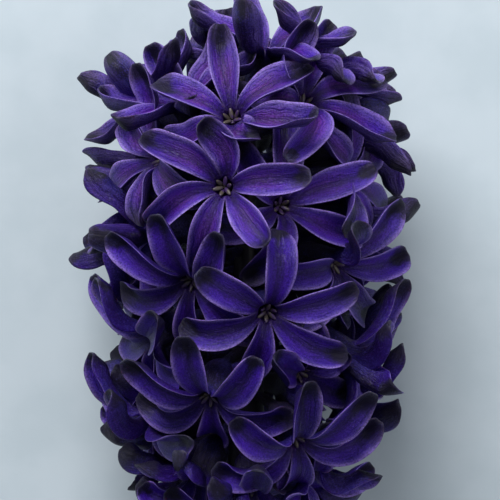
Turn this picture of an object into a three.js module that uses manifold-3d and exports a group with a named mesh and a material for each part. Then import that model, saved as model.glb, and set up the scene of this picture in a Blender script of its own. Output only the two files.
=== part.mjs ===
// Hyacinth flower, cut and laid on its back: one raceme of six-lobed florets on a
// bare, slightly drooping stalk. Millimetres, +Z up, the stalk along Y with the tip
// of the flower at +Y, the lowest lobes and the cut end resting on Z = 0.
//
// Nodes: the stalk, grown as one piece from the cut end to the tip, and each floret,
// grown as one piece from its short pedicel through the tube to the six lobes.
import * as THREE from "three";
import Module from "manifold-3d";

// ---------------------------------------------------------------- driving sizes
const LOBE_LENGTH = 16.5; // a lobe from the rim of the tube to its tip, along its curve
const LOBE_WIDTH = 6.6; // a lobe at its widest
const LOBE_THICKNESS = 1.2; // the fleshy middle of a lobe
const LOBE_CUP = 0.28; // how far the margins stand above the middle, as a share of the width
const THROAT_RADIUS = 2.5; // where the middles of the lobes leave the tube
const RIM_RADIUS = 3.05; // outside of the tube at its mouth
const MOUTH_RADIUS = 1.6; // inside of the tube at its mouth
const TUBE_DEPTH = 6; // the hollow of the tube
const TUBE_RADIUS = 3.2; // the tube at its fullest
const PEDICEL_RADIUS = 1.1; // the short stalk of a floret
const NECK_LENGTH = 9; // from the mouth back to where the tube turns to the stalk

const TILT = 4; // slope of the raceme, in degrees: the tip lies a little higher than the stalk
const AXIS_HEIGHT = 26.8; // height of the stalk above the surface at the lowest florets
const RACHIS_TOP = 91; // where the stalk ends between the topmost florets
const STALK_LENGTH = 92; // bare stalk below the lowest florets
const CUT_RADIUS = 5.1; // the stalk at its cut end
const STALK_RADIUS = 4.2; // the stalk at the lowest florets
const RACHIS_TOP_RADIUS = 1.5; // the stalk at the top

const GAP = 0.3; // kept between neighbouring pieces
const SMALLEST = 0.02; // detail smaller than this is smoothed away
const TOUCH = 1e-4; // cubic mm of overlap that counts as one
const STATIONS = 12; // steps along a lobe as it grows
const TUBE_POINTS = 10; // steps along a tube where lobes look out for it
const CLEARANCE = 1.6; // kept between the middle surfaces of two lobes while they grow
const NECK_CLEARANCE = 0.1; // kept between the stalk and a floret beyond the gap
const OWN_SLACK = 0.1; // how much nearer the lobes of one floret may come to each other
const TUBE_CLEARANCE = 0.9; // kept between a lobe and another floret's tube
const FLOOR_CLEARANCE = 0.3; // kept between a lobe and the surface it lies on
const FLOOR_WEIGHT = 3; // how much more a lobe minds the surface than its neighbours
const LOBES_MEET = 24; // how far from its mouth a floret meets others' lobes
const TUBES_MEET = 26; // the same for others' tubes
const LOBE_NEARBY = 7; // how near a lobe has to be to count at a step
const TUBE_NEARBY = 11; // the same for a tube
const AMPLE = 9; // room that is as good as any more
const FOOT_FROM = 2; // station from which a lobe takes up room
const BLADE_FROM = 5; // station from which it stands clear of its own floret
const HABIT_COST = 0.02; // what each habit further down the list costs, in mm of crowding
const STRAIGHTENS = 0.93; // share of a forced bend that the next step keeps
const MATTERS = 0.03; // mm of room by which one way of yielding has to beat another
const INNER_START = 18; // angle from the axis of the floret at which an inner lobe starts
const OUTER_START = 26; // the same for the three outer lobes
const SPREAD = 76; // angle from the axis to which a lobe opens before it curls
const SPREAD_BY = 0.42; // share of its length by which it has opened
const MOST_LIFT = 1; // how strongly the tips of the lowest florets' lobes turn up along the stalk
const LEAST_LIFT = 0.15; // the same for the topmost
const FOOT_LIFT = 1.2; // from which the lift fades, so that the lowest florets all have the most
const LIFT_FADES = 75; // height over which it would fade by 1

// ---------------------------------------------------------------- the florets
// height: mouth of the tube along the stalk. turn: round the stalk, 0 faces up and 90
// faces +X. reach: mouth of the tube from the middle of the stalk. rise: how far the
// floret faces towards the tip. yaw: how far it faces aside. roll: where its first lobe
// sits, from +X. aims: where the six lobes go, when they sweep aside. curls: the angle
// from the floret's axis to which each lobe curls back. lengths: against LOBE_LENGTH.
const level = (share) => Array(6).fill(share); // the same for all six lobes
const FLORETS = [
  {
    height: 68, turn: -11, reach: 23.5, rise: 0, roll: 10,
    aims: [-6, 143, 150, 228, 258, 304], curls: [100, 60, 95, 160, 150, 66],
    lengths: [1, 0.8, 1.04, 0.95, 1, 0.88],
  },
  {
    height: 44, turn: 10, reach: 22.5, rise: -26, roll: 20,
    aims: [0, 86, 166, 212, 262, 322], curls: [120, 150, 95, 150, 150, 90], lengths: [1, 1, 1, 1, 0.9, 1],
  },
  {
    height: 81.5, turn: -8, reach: 21, rise: 30, yaw: -2, roll: 40,
    aims: [30, 105, 155, 185, 318, 352], curls: [150, 110, 150, 100, 150, 95],
    lengths: [1, 1, 1, 1, 0.45, 1],
  },
  {
    height: 19, turn: 26, reach: 22, rise: -48, roll: 50,
    aims: [40, 105, 172, 235, 275, 370], curls: [120, 125, 115, 115, 110, 110],
  },
  {
    height: 27.5, turn: -20, reach: 21.5, rise: -48, roll: 30,
    aims: [35, 92, 148, 208, 255, 318], curls: [120, 120, 115, 150, 110, 120], lengths: [1, 1, 1, 1, 0.9, 1],
  },
  {
    height: 64.5, turn: 20, reach: 20, rise: 0, roll: 30,
    aims: [5, 90, 130, 205, 270, 335], curls: [100, 140, 130, 140, 100, 140], lengths: [1.08, 1, 1, 1, 1, 1],
  },
  {
    height: 85, turn: 38, reach: 19, rise: 30, roll: 20,
    aims: [355, 45, 95, 150, 220, 320], curls: [100, 85, 85, 140, 150, 110],
  },
  {
    height: 53, turn: 57, reach: 21, rise: -16, yaw: -8, roll: 0,
    aims: [0, 45, 155, 178, 212, 322], curls: [100, 135, 150, 130, 150, 130],
  },
  {
    height: 49.5, turn: -32, reach: 21, rise: -34, yaw: 4, roll: 20,
    aims: [48, 98, 145, 200, 265, 310], curls: [120, 120, 115, 150, 130, 130],
  },
  {
    height: 22.5, turn: -73, reach: 20, rise: -48, yaw: -4, roll: 30,
    aims: [40, 90, 150, 210, 270, 315], curls: [150, 140, 130, 140, 190, 170],
  },
  { height: 94.5, turn: 24, reach: 9.5, rise: 68, roll: 30, curls: [70, 70, 80, 90, 100, 80] },
  {
    height: 84.5, turn: -50, reach: 15.5, rise: 56, roll: 30,
    curls: [70, 55, 50, 60, 85, 80], lengths: [1, 1, 1, 1, 1, 0.45],
  },
  {
    height: 74, turn: -59, reach: 20.5, rise: 12, roll: 30,
    aims: [30, 110, 150, 210, 270, 330], curls: [130, 140, 110, 130, 130, 130],
    lengths: [0.65, 1, 0.75, 1, 0.75, 1],
  },
  { height: 70, turn: 69, reach: 21, rise: 8, roll: 30, curls: [120, 110, 130, 140, 130, 120] },
  {
    height: 31.5, turn: 43, reach: 16, rise: -30, roll: 40,
    curls: level(120), lengths: [0.5, 0.6, 1, 1, 1, 0.6],
  },
  { height: 90, turn: 72, reach: 14.5, rise: 48, roll: 10, curls: [110, 110, 130, 140, 110, 100] },
  { height: 35.5, turn: 70, reach: 21, rise: -34, roll: 20, curls: level(120) },
  { height: 38.5, turn: -70, reach: 20, rise: -32, roll: 10, curls: [120, 130, 120, 130, 130, 120] },
  { height: 59, turn: -82, reach: 20, rise: -14, roll: 0, curls: [130, 120, 110, 120, 130, 130] },
  { height: 79, turn: 95, reach: 19, rise: 25, roll: 30, curls: [120, 120, 130, 140, 130, 120] },
  {
    height: 46, turn: 98, reach: 20, rise: -20, roll: 30,
    curls: [120, 120, 130, 130, 130, 120], lengths: [1, 1, 0.85, 1, 1, 1],
  },
  {
    height: 62.5, turn: 96, reach: 19.5, rise: 5, roll: 10,
    curls: [120, 130, 130, 130, 130, 130], lengths: [1, 1, 0.45, 1, 1, 1],
  },
  { height: 26, turn: 98, reach: 19.5, rise: -38, roll: 0, curls: level(120) },
  { height: 84.5, turn: -94, reach: 18, rise: 45, roll: 0, curls: [70, 60, 70, 90, 90, 80] },
  { height: 12, turn: 62, reach: 14, rise: -60, roll: 20, curls: level(110), lengths: level(0.8) },
  { height: 11.5, turn: -46, reach: 12.5, rise: -62, roll: 50, curls: level(110), lengths: level(0.8) },
  { height: 9, turn: 4, reach: 13.5, rise: -58, roll: 30, curls: level(110) },
  { height: 64.5, turn: -108, reach: 19.5, rise: 8, roll: 30, curls: level(120) },
  {
    height: 47.5, turn: -100, reach: 20, rise: -22, roll: 18,
    curls: level(120), lengths: [1, 1, 1, 1, 1, 0.55],
  },
  { height: 29.5, turn: -104, reach: 16.5, rise: -34, roll: 0, curls: level(120), lengths: level(0.8) },
  { height: 11, turn: 110, reach: 12, rise: -58, roll: 20, curls: level(110), lengths: level(0.75) },
  { height: 11, turn: -102, reach: 12, rise: -58, roll: 10, curls: level(110), lengths: level(0.75) },
  { height: 82, turn: 172, reach: 21, rise: 28, roll: 10, curls: level(140) },
  { height: 70, turn: 166, reach: 22, rise: 8, roll: 40, curls: level(140) },
  { height: 64, turn: 200, reach: 20.5, rise: 2, roll: 0, curls: level(140) },
  { height: 50, turn: 148, reach: 21, rise: -4, roll: 30, curls: level(140) },
  { height: 44, turn: 188, reach: 21.5, rise: -8, roll: 10, curls: level(140) },
  { height: 54, turn: 234, reach: 21, rise: 0, roll: 50, curls: level(140) },
  { height: 20, turn: 206, reach: 20.5, rise: -26, roll: 20, curls: level(140) },
  { height: 29, turn: 162, reach: 19.5, rise: -12, roll: 10, curls: level(140) },
  { height: 85, turn: 216, reach: 18.5, rise: 34, roll: 30, curls: level(140), lengths: level(0.85) },
  { height: 87, turn: 130, reach: 17, rise: 42, roll: 0, curls: level(140) },
  { height: 95, turn: 204, reach: 9.5, rise: 66, roll: 30, curls: level(115), lengths: level(0.75) },
  { height: 74, turn: 122, reach: 20, rise: 16, roll: 20, curls: level(140) },
  { height: 32, turn: 230, reach: 17, rise: -12, roll: 0, curls: level(140), lengths: level(0.85) },
  { height: 11, turn: 228, reach: 12.5, rise: -55, roll: 30, curls: level(110), lengths: level(0.8) },
  { height: 11.5, turn: 138, reach: 12.5, rise: -55, roll: 24, curls: level(110), lengths: level(0.8) },
  { height: 9, turn: 180, reach: 14, rise: -52, roll: 20, curls: level(110) },
  { height: 37, turn: 126, reach: 20.5, rise: -10, roll: 20, curls: level(140) },
  { height: 60, turn: 126, reach: 20, rise: 4, roll: 50, curls: level(140) },
  { height: 76, turn: 238, reach: 20, rise: 16, roll: 22, curls: level(140) },
  { height: 19.5, turn: 250, reach: 17, rise: -24, roll: 0, curls: level(140), lengths: level(0.8) },
];

// How a lobe gives way to its neighbours: first as a whole (curl, sweep), then at each
// step of its growth (bend, sweep), in degrees, the gentlest first.
const HABITS = [
  [0, 0], [-20, 0], [20, 0], [0, 12], [0, -12], [-40, 0], [40, 0],
  [-20, 14], [-20, -14], [25, 14], [25, -14], [0, 26], [0, -26],
];
const YIELDS = [
  [0, 0], [-5, 0], [5, 0], [-10, 0], [10, 0], [-16, 0], [0, 8],
  [0, -8], [16, 0], [-24, 0], [-12, 10], [-12, -10], [22, 0], [-32, 0],
];
const ACROSS = [-1, -0.5, 0, 0.5, 1]; // from margin to margin of a lobe

// ---------------------------------------------------------------- small helpers
const v3 = (x, y, z) => new THREE.Vector3(x, y, z);
const rad = THREE.MathUtils.degToRad;
const smooth = (x) => THREE.MathUtils.smoothstep(x, 0, 1);
const along = (p, d, s) => p.clone().addScaledVector(d, s);
const turnBetween = (a, b) => (((a - b + 180) % 360) + 360) % 360 - 180;
const spoke = (side, up, az) => along(side.clone().multiplyScalar(Math.cos(rad(az))), up, Math.sin(rad(az)));

/** Width of a lobe at a share s of its length, against its widest. */
function widthAt(s) {
  if (s < 0.5) return 0.4 + 0.6 * Math.sin(Math.PI * s) ** 1.2;
  const q = (s - 0.5) / 0.5;
  return (1 - 0.12 * q) * Math.sqrt(Math.max(0, 1 - q ** 4.2));
}

/** Angle of a lobe from the axis at a share s of its length: quick to open, then curling. */
function opening(s, start, end) {
  const opened = 1 - (1 - Math.min(1, s / SPREAD_BY)) ** 2;
  return start + (SPREAD - start) * opened + (end - SPREAD) * s * s;
}

/** How strongly the tips of a floret's lobes turn up along the stalk. */
const liftAt = (height) => THREE.MathUtils.clamp(FOOT_LIFT - height / LIFT_FADES, LEAST_LIFT, MOST_LIFT);

/** Five points from margin to margin of a lobe's cupped middle surface. */
function rowOf(c, w, face, width) {
  return ACROSS.map((q) => along(along(c, w, (q * width) / 2), face, LOBE_CUP * width * (q * q - 0.4)));
}

/** Squared distance from a point to the nearest of others. */
function nearest(p, others) {
  let least = 1e9;
  for (const o of others) least = Math.min(least, p.distanceToSquared(o));
  return least;
}

/** Radius of a floret's pedicel and tube at a share q of the way to its mouth. */
function tubeRadius(q) {
  if (q < 0.35) return PEDICEL_RADIUS;
  if (q < 0.6) return PEDICEL_RADIUS + (TUBE_RADIUS - PEDICEL_RADIUS) * smooth((q - 0.35) / 0.25);
  return TUBE_RADIUS - 0.2 * smooth((q - 0.6) / 0.4);
}

/** Radius of the stalk at a height along the raceme. */
function rachisRadius(height) {
  const share = THREE.MathUtils.clamp(height / RACHIS_TOP, 0, 1);
  return THREE.MathUtils.lerp(STALK_RADIUS, RACHIS_TOP_RADIUS, share);
}

/** The surface under the flower, as a depth below the stalk at a height along it. */
const floorAt = (height) => -(AXIS_HEIGHT + height * Math.sin(rad(TILT))) / Math.cos(rad(TILT));

/** Where a floret's mouth sits and the way it faces, in the raceme's own frame. */
function frameOf(f) {
  const t = rad(f.turn);
  const a = rad(f.turn + (f.yaw ?? 0));
  const r = rad(f.rise);
  return {
    throat: v3(f.reach * Math.sin(t), f.height, f.reach * Math.cos(t)),
    axis: v3(Math.cos(r) * Math.sin(a), Math.sin(r), Math.cos(r) * Math.cos(a)),
    up: v3(-Math.sin(r) * Math.sin(a), Math.cos(r), -Math.sin(r) * Math.cos(a)),
    side: v3(Math.cos(a), 0, -Math.sin(a)),
  };
}

/** The middle line of a floret's pedicel and tube, from the stalk to the mouth. */
function neckOf(f, { throat, axis }) {
  const out = v3(throat.x, 0, throat.z).normalize();
  const bend = along(throat, axis, -NECK_LENGTH);
  const foot = bend.y - 0.25 * (throat.y - bend.y);
  const centre = v3(0, Math.min(foot, RACHIS_TOP - 2), 0);
  const start = along(centre, out, rachisRadius(foot) + GAP + NECK_CLEARANCE);
  return new THREE.QuadraticBezierCurve3(start, bend, throat.clone());
}

// ---------------------------------------------------------------- growing the lobes
/** Grows the six lobes of every floret in turn, each giving way to those before it. */
function grow(florets) {
  const frames = florets.map(frameOf);
  const necks = florets.map((f, i) => neckOf(f, frames[i]));
  const tubes = necks.map((neck) => neck.getPoints(TUBE_POINTS));
  const placed = [];
  return florets.map((f, i) => {
    const { throat } = frames[i];
    const far = (p) => Math.max(...p.clone().sub(throat).toArray().map(Math.abs));
    const near = placed.filter((p) => far(p) < LOBES_MEET);
    const tubing = [];
    tubes.forEach((line, n) => {
      if (n === i) return;
      line.forEach((p, k) => {
        if (p.distanceTo(throat) < TUBES_MEET) tubing.push([p, tubeRadius(k / TUBE_POINTS) + TUBE_CLEARANCE]);
      });
    });
    const own = [];
    const feet = [];
    const lobes = [0, 1, 2, 3, 4, 5].map((k) => {
      const stations = growLobe(f, frames[i], k, { near, own, tubing });
      stations.forEach(({ c, w, face, width }, j) => {
        if (j >= FOOT_FROM) (j >= BLADE_FROM ? own : feet).push(...rowOf(c, w, face, width));
      });
      return stations;
    });
    placed.push(...own, ...feet);
    return { frame: frames[i], neck: necks[i], roll: f.roll, lobes };
  });
}

/** Grows one lobe in the first habit that finds room, or in the least crowded one. */
function growLobe(f, { throat, axis, up, side }, k, around) {
  const inner = k % 2 === 0;
  const start = inner ? INNER_START : OUTER_START;
  const sits = f.roll + 60 * k;
  const sweep = f.aims ? turnBetween(f.aims[k], sits) : 0;
  const radial = (az) => spoke(side, up, az);
  const root = along(throat, radial(sits), THROAT_RADIUS * (inner ? 0.95 : 1.08));
  const step = (LOBE_LENGTH * (f.lengths?.[k] ?? 1)) / STATIONS;
  const lift = liftAt(f.height);
  let best = null;
  for (let h = 0; h < HABITS.length; h++) {
    const end = f.curls[k] + HABITS[h][0];
    const lean = sweep + HABITS[h][1];
    const way = (s, bend, aside) => {
      const theta = rad(opening(s, start, end) + bend);
      const out = radial(sits + lean * smooth(s / 0.7) + aside);
      const natural = axis.clone().multiplyScalar(Math.cos(theta)).addScaledVector(out, Math.sin(theta));
      const raise = v3(0, lift * s ** 1.5, 0);
      const ahead = natural.clone().add(raise).normalize();
      const face = natural.cross(axis.clone().cross(out)).add(raise);
      return [ahead, along(face, ahead, -face.dot(ahead)).normalize().cross(ahead)];
    };
    const made = march(root, step, way, around);
    const cost = made.crowding + HABIT_COST * h;
    if (!best || cost < best.cost) best = { cost, ...made };
    if (made.crowding <= 0) break;
  }
  return best.line.map((c, j) => {
    const before = best.line[Math.max(0, j - 1)];
    const after = best.line[Math.min(STATIONS, j + 1)];
    const t = after.clone().sub(before).normalize();
    const w = along(best.wides[j], t, -best.wides[j].dot(t)).normalize();
    return { c, t, w, face: t.clone().cross(w), width: LOBE_WIDTH * widthAt(j / STATIONS) };
  });
}

/** Grows a lobe's middle line step by step, each step yielding as little as it can. */
function march(root, step, way, { near, own, tubing }) {
  const line = [root];
  const wides = [way(0, 0, 0)[1]];
  let bend = 0;
  let aside = 0;
  let crowding = 0;
  for (let j = 1; j <= STATIONS; j++) {
    const here = line[j - 1];
    const s = j / STATIONS;
    const width = LOBE_WIDTH * widthAt(s);
    const others = near.filter((p) => p.distanceToSquared(here) < LOBE_NEARBY ** 2);
    const mine = j >= BLADE_FROM ? own.filter((p) => p.distanceToSquared(here) < LOBE_NEARBY ** 2) : [];
    const tubes = tubing.filter(([p]) => p.distanceToSquared(here) < TUBE_NEARBY ** 2);
    let pick = null;
    for (const [moreBend, moreAside] of YIELDS) {
      const [d, w] = way(s, bend + moreBend, aside + moreAside);
      const c = along(here, d, step);
      const row = rowOf(c, w, d.clone().cross(w), width);
      let room = AMPLE;
      for (const p of row) {
        room = Math.min(room, Math.sqrt(nearest(p, others)) - CLEARANCE);
        room = Math.min(room, Math.sqrt(nearest(p, mine)) - CLEARANCE + OWN_SLACK);
        for (const [q, r] of tubes) room = Math.min(room, p.distanceTo(q) - r);
        room = Math.min(room, FLOOR_WEIGHT * (p.z - floorAt(c.y) - FLOOR_CLEARANCE));
      }
      if (!pick || room >= 0 || room > pick.room + MATTERS) pick = { room, w, c, moreBend, moreAside };
      if (room >= 0) break;
    }
    if (pick.room < 0) crowding -= pick.room;
    bend = (bend + pick.moreBend) * STRAIGHTENS;
    aside += pick.moreAside;
    line.push(pick.c);
    wides.push(pick.w);
  }
  return { crowding, line, wides };
}

// ---------------------------------------------------------------- closed surfaces
/** A surface gathered from points and triangles, facing out. */
class Shell {
  constructor() {
    this.points = [];
    this.faces = [];
  }
  point(p) {
    this.points.push(p);
    return this.points.length - 1;
  }
  ring(centre, a, b, radius, sides, phase = 0) {
    return Array.from({ length: sides }, (_, i) => {
      const t = phase + (2 * Math.PI * i) / sides;
      return this.point(along(along(centre, a, radius * Math.cos(t)), b, radius * Math.sin(t)));
    });
  }
  face(...abc) {
    this.faces.push(abc);
  }
  wall(low, high) {
    low.forEach((a, i) => {
      const n = (i + 1) % low.length;
      this.face(a, low[n], high[n]);
      this.face(a, high[n], high[i]);
    });
  }
  /** Carries the surface to the table and flattens what would sink more than `depth` into it. */
  lay(matrix, depth) {
    this.points.forEach((p) => {
      p.applyMatrix4(matrix);
      p.z = Math.max(p.z, -depth);
    });
    return this;
  }
  geometry() {
    const g = new THREE.BufferGeometry();
    const xyz = this.points.flatMap((p) => p.toArray());
    g.setAttribute("position", new THREE.Float32BufferAttribute(xyz, 3));
    g.setIndex(this.faces.flat());
    return g;
  }
}

const TUBE_STEPS = [0, 0.36, 0.58, 0.8]; // rings along the pedicel and the tube
const LOBE_STEPS = [2, 4, 7, 10]; // stations kept along a lobe, of STATIONS
const STALK_STEPS = 12; // steps along the bare stalk, and as many through the florets
const STALK_SIDES = 12;

/** One floret, thickened all round by `extra`: pedicel, hollow tube and six cupped lobes. */
function floretShell({ frame, neck, roll, lobes }, extra = 0) {
  const { throat, axis, up, side } = frame;
  const shell = new Shell();
  const radial = (az) => spoke(side, up, az);
  const rings = TUBE_STEPS.map((q) => {
    const t = neck.getTangent(q);
    const b = along(up, t, -up.dot(t)).normalize();
    const a = b.clone().cross(t);
    const r = tubeRadius(q) + extra;
    const c = q === 0 ? along(neck.getPoint(0), t, -extra) : neck.getPoint(q);
    return shell.ring(c, a, b, r, 6, rad(roll - 30));
  });
  rings.slice(1).forEach((ring, i) => shell.wall(rings[i], ring));
  for (let i = 1; i < 5; i++) shell.face(rings[0][0], rings[0][i + 1], rings[0][i]);

  // The mouth: a boundary and a middle for each lobe, outside and inside.
  const outer = [];
  const inner = [];
  for (let i = 0; i < 12; i++) {
    const out = radial(roll - 30 + 30 * i);
    const middle = i % 2 === 1;
    const whorl = middle && i % 4 === 3 ? 0.25 : 0; // the outer lobes stand a little further out
    outer.push(shell.point(along(throat, out, RIM_RADIUS + whorl + extra)));
    inner.push(shell.point(along(along(throat, out, MOUTH_RADIUS + whorl - extra), axis, middle ? 0 : 0.2)));
  }
  const bulge = rings[rings.length - 1];
  for (let k = 0; k < 6; k++) {
    const [b0, b1] = [bulge[k], bulge[(k + 1) % 6]];
    const [o0, o1, o2] = [outer[2 * k], outer[2 * k + 1], outer[(2 * k + 2) % 12]];
    shell.face(b0, b1, o1);
    shell.face(b0, o1, o0);
    shell.face(b1, o2, o1);
  }
  const bottom = shell.point(along(throat, axis, -TUBE_DEPTH + extra));
  inner.forEach((p, i) => shell.face(p, inner[(i + 1) % 12], bottom));

  lobes.forEach((stations, k) => {
    const [ol, om, or] = [outer[2 * k], outer[2 * k + 1], outer[(2 * k + 2) % 12]];
    const [il, im, ir] = [inner[2 * k], inner[2 * k + 1], inner[(2 * k + 2) % 12]];
    const cut = LOBE_STEPS.map((j) => {
      const { c, w, face, width } = stations[j];
      const half = width / 2 + extra;
      const cup = LOBE_CUP * width;
      const middle = along(c, face, -0.4 * cup);
      return {
        l: shell.point(along(along(c, w, -half), face, 0.6 * cup)),
        r: shell.point(along(along(c, w, half), face, 0.6 * cup)),
        b: shell.point(along(middle, face, -LOBE_THICKNESS / 2 - extra)),
        f: shell.point(along(middle, face, LOBE_THICKNESS / 2 + extra)),
      };
    });
    const first = cut[0];
    shell.face(ol, om, first.b);
    shell.face(ol, first.b, first.l);
    shell.face(om, or, first.r);
    shell.face(om, first.r, first.b);
    shell.face(il, first.f, im);
    shell.face(il, first.l, first.f);
    shell.face(im, first.f, first.r);
    shell.face(im, first.r, ir);
    shell.face(ol, first.l, il);
    shell.face(or, ir, first.r);
    for (let j = 1; j < cut.length; j++) {
      const [p, n] = [cut[j - 1], cut[j]];
      shell.face(p.l, p.b, n.b);
      shell.face(p.l, n.b, n.l);
      shell.face(p.b, p.r, n.r);
      shell.face(p.b, n.r, n.b);
      shell.face(p.l, n.l, n.f);
      shell.face(p.l, n.f, p.f);
      shell.face(p.f, n.f, n.r);
      shell.face(p.f, n.r, p.r);
    }
    const last = cut[cut.length - 1];
    const end = stations[STATIONS];
    const tip = shell.point(along(end.c, end.t, extra));
    shell.face(last.l, last.b, tip);
    shell.face(last.b, last.r, tip);
    shell.face(last.l, tip, last.f);
    shell.face(last.f, tip, last.r);
  });
  return shell;
}

/** The stalk: straight through the florets, then drooping to its cut end. */
function stalkShell(extra = 0) {
  const shell = new Shell();
  const tilt = Math.tan(rad(TILT));
  const endHeight = CUT_RADIUS * 0.94;
  const droop = (endHeight - AXIS_HEIGHT + STALK_LENGTH * tilt) / STALK_LENGTH ** 2;
  const sections = [];
  for (let i = 0; i <= STALK_STEPS; i++) {
    const y = -STALK_LENGTH * (1 - i / STALK_STEPS);
    const slope = tilt + 2 * droop * y;
    const radius = THREE.MathUtils.lerp(STALK_RADIUS, CUT_RADIUS, (-y / STALK_LENGTH) ** 0.8);
    sections.push([v3(0, y, AXIS_HEIGHT + tilt * y + droop * y * y), v3(0, 1, slope).normalize(), radius]);
  }
  for (let i = 1; i <= STALK_STEPS; i++) {
    const h = (RACHIS_TOP * i) / STALK_STEPS;
    const centre = v3(0, h * Math.cos(rad(TILT)), AXIS_HEIGHT + h * Math.sin(rad(TILT)));
    sections.push([centre, v3(0, 1, tilt).normalize(), rachisRadius(h)]);
  }
  const across = v3(1, 0, 0);
  const rings = sections.map(([c, t, r], i) => {
    const end = i === 0 ? -extra : i === sections.length - 1 ? extra : 0;
    return shell.ring(along(c, t, end), across, t.clone().cross(across), r + extra, STALK_SIDES);
  });
  rings.slice(1).forEach((ring, i) => shell.wall(rings[i], ring));
  const first = rings[0];
  const last = rings[rings.length - 1];
  for (let i = 1; i < STALK_SIDES - 1; i++) {
    shell.face(first[0], first[i + 1], first[i]);
    shell.face(last[0], last[i], last[i + 1]);
  }
  return shell;
}

// ---------------------------------------------------------------- solids
const wasm = await Module();
wasm.setup();

function solidOf(geometry) {
  const made = new wasm.Manifold(
    new wasm.Mesh({
      numProp: 3,
      vertProperties: new Float32Array(geometry.getAttribute("position").array),
      triVerts: new Uint32Array(geometry.index.array),
    }),
  );
  if (made.volume() < 0) throw new Error("a surface faces inwards");
  return made;
}

function geometryOf(solid) {
  const m = solid.getMesh();
  const g = new THREE.BufferGeometry();
  const xyz = new Float32Array(m.numVert * 3);
  for (let i = 0; i < m.numVert; i++) {
    const at = i * m.numProp;
    xyz.set(m.vertProperties.subarray(at, at + 3), i * 3);
  }
  g.setAttribute("position", new THREE.BufferAttribute(xyz, 3));
  g.setIndex(new THREE.BufferAttribute(m.triVerts, 1));
  return g;
}

/** The largest of a solid's bodies. */
function mainBody(solid) {
  const bodies = solid.decompose();
  return bodies.reduce((a, b) => (b.volume() > a.volume() ? b : a));
}

const raceme = new THREE.Matrix4().makeRotationX(rad(TILT)).setPosition(0, 0, AXIS_HEIGHT);
const grown = grow(FLORETS);
const unmoved = new THREE.Matrix4(); // the stalk is built where it lies
const plain = grown.map((g) => solidOf(floretShell(g).lay(raceme, 0).geometry()));
const fat = grown.map((g) => solidOf(floretShell(g, GAP).lay(raceme, GAP).geometry()));
const stalk = solidOf(stalkShell().lay(unmoved, 0).geometry());
const fatStalk = solidOf(stalkShell(GAP).lay(unmoved, GAP).geometry());

const overlap = (a, b) => a.intersect(b).volume() > TOUCH;
const solids = [["stem", stalk]];
const before = [];
plain.forEach((solid, i) => {
  let made = solid;
  if (overlap(made, stalk)) made = made.subtract(fatStalk);
  before.forEach((other, n) => {
    if (!overlap(made, other)) return;
    made = made.subtract(fat[n]);
    if (overlap(made, other)) made = made.subtract(other);
  });
  made = mainBody(made.simplify(SMALLEST));
  before.push(made);
  solids.push(["floret_" + String(i + 1).padStart(2, "0"), made]);
});

// ---------------------------------------------------------------- the part
const box = new THREE.Box3();
const geometries = solids.map(([name, solid]) => {
  const geometry = geometryOf(solid);
  geometry.computeBoundingBox();
  box.union(geometry.boundingBox);
  return [name, geometry];
});
const middle = box.getCenter(v3(0, 0, 0));

const root = new THREE.Group();
root.name = "hyacinth_flower";
for (const [name, geometry] of geometries) {
  geometry.translate(-middle.x, -middle.y, -box.min.z);
  const colour = name === "stem" ? 0x4b5a35 : 0x5b3f9e;
  const mesh = new THREE.Mesh(geometry, new THREE.MeshStandardMaterial({ color: colour, roughness: 0.55 }));
  mesh.name = name;
  root.add(mesh);
}

export default root;
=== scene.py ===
"""A cut hyacinth laid on its back on a pale table.

The flower is one raceme on a bare, gently drooping stalk. Every floret is grown as one
piece: a short stalk of its own, a swollen tube and six fleshy lobes that curl back and
give way to their neighbours. Lengths in the tables are millimetres and angles degrees,
in the raceme's own frame: x across, y along the stalk to the tip, z up from its back.
"""

import logging
import math
from dataclasses import dataclass, field
from typing import Callable, Optional, Sequence

import bmesh
import bpy
import numpy as np
from mathutils import Matrix, Vector


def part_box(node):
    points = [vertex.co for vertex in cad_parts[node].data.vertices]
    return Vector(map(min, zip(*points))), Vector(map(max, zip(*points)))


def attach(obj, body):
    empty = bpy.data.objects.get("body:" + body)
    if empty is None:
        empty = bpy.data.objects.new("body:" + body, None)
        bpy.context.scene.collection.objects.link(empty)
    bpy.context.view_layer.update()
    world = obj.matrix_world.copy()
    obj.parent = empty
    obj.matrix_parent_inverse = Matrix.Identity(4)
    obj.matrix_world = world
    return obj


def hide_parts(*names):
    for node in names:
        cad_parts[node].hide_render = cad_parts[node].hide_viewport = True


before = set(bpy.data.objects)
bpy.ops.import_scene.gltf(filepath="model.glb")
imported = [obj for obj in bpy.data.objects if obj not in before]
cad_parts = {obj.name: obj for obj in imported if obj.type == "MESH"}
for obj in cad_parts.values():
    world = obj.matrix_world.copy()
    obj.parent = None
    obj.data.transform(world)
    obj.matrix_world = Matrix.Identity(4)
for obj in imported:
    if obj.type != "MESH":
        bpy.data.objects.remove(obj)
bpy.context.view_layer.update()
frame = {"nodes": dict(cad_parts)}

log = logging.getLogger("hyacinth")

MM = 0.001
LOBES = 6
SIXTH = 60.0  # degrees from one lobe to the next
QUARTER = 90.0
FIRST_RING = 0.01  # up to this share of its neck, a point is on a floret's first ring

# Points of a row across a lobe, from one margin to the other, and how far each stands
# above the lobe's middle line, as a share of the cup: the margins above it, the rest
# below. The two places whose square is LEVEL_AT are level with it.
LEVEL_AT = 0.4
ACROSS = np.array([-1.0, -0.5, 0.0, 0.5, 1.0])
DISH = ACROSS**2 - LEVEL_AT


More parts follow.
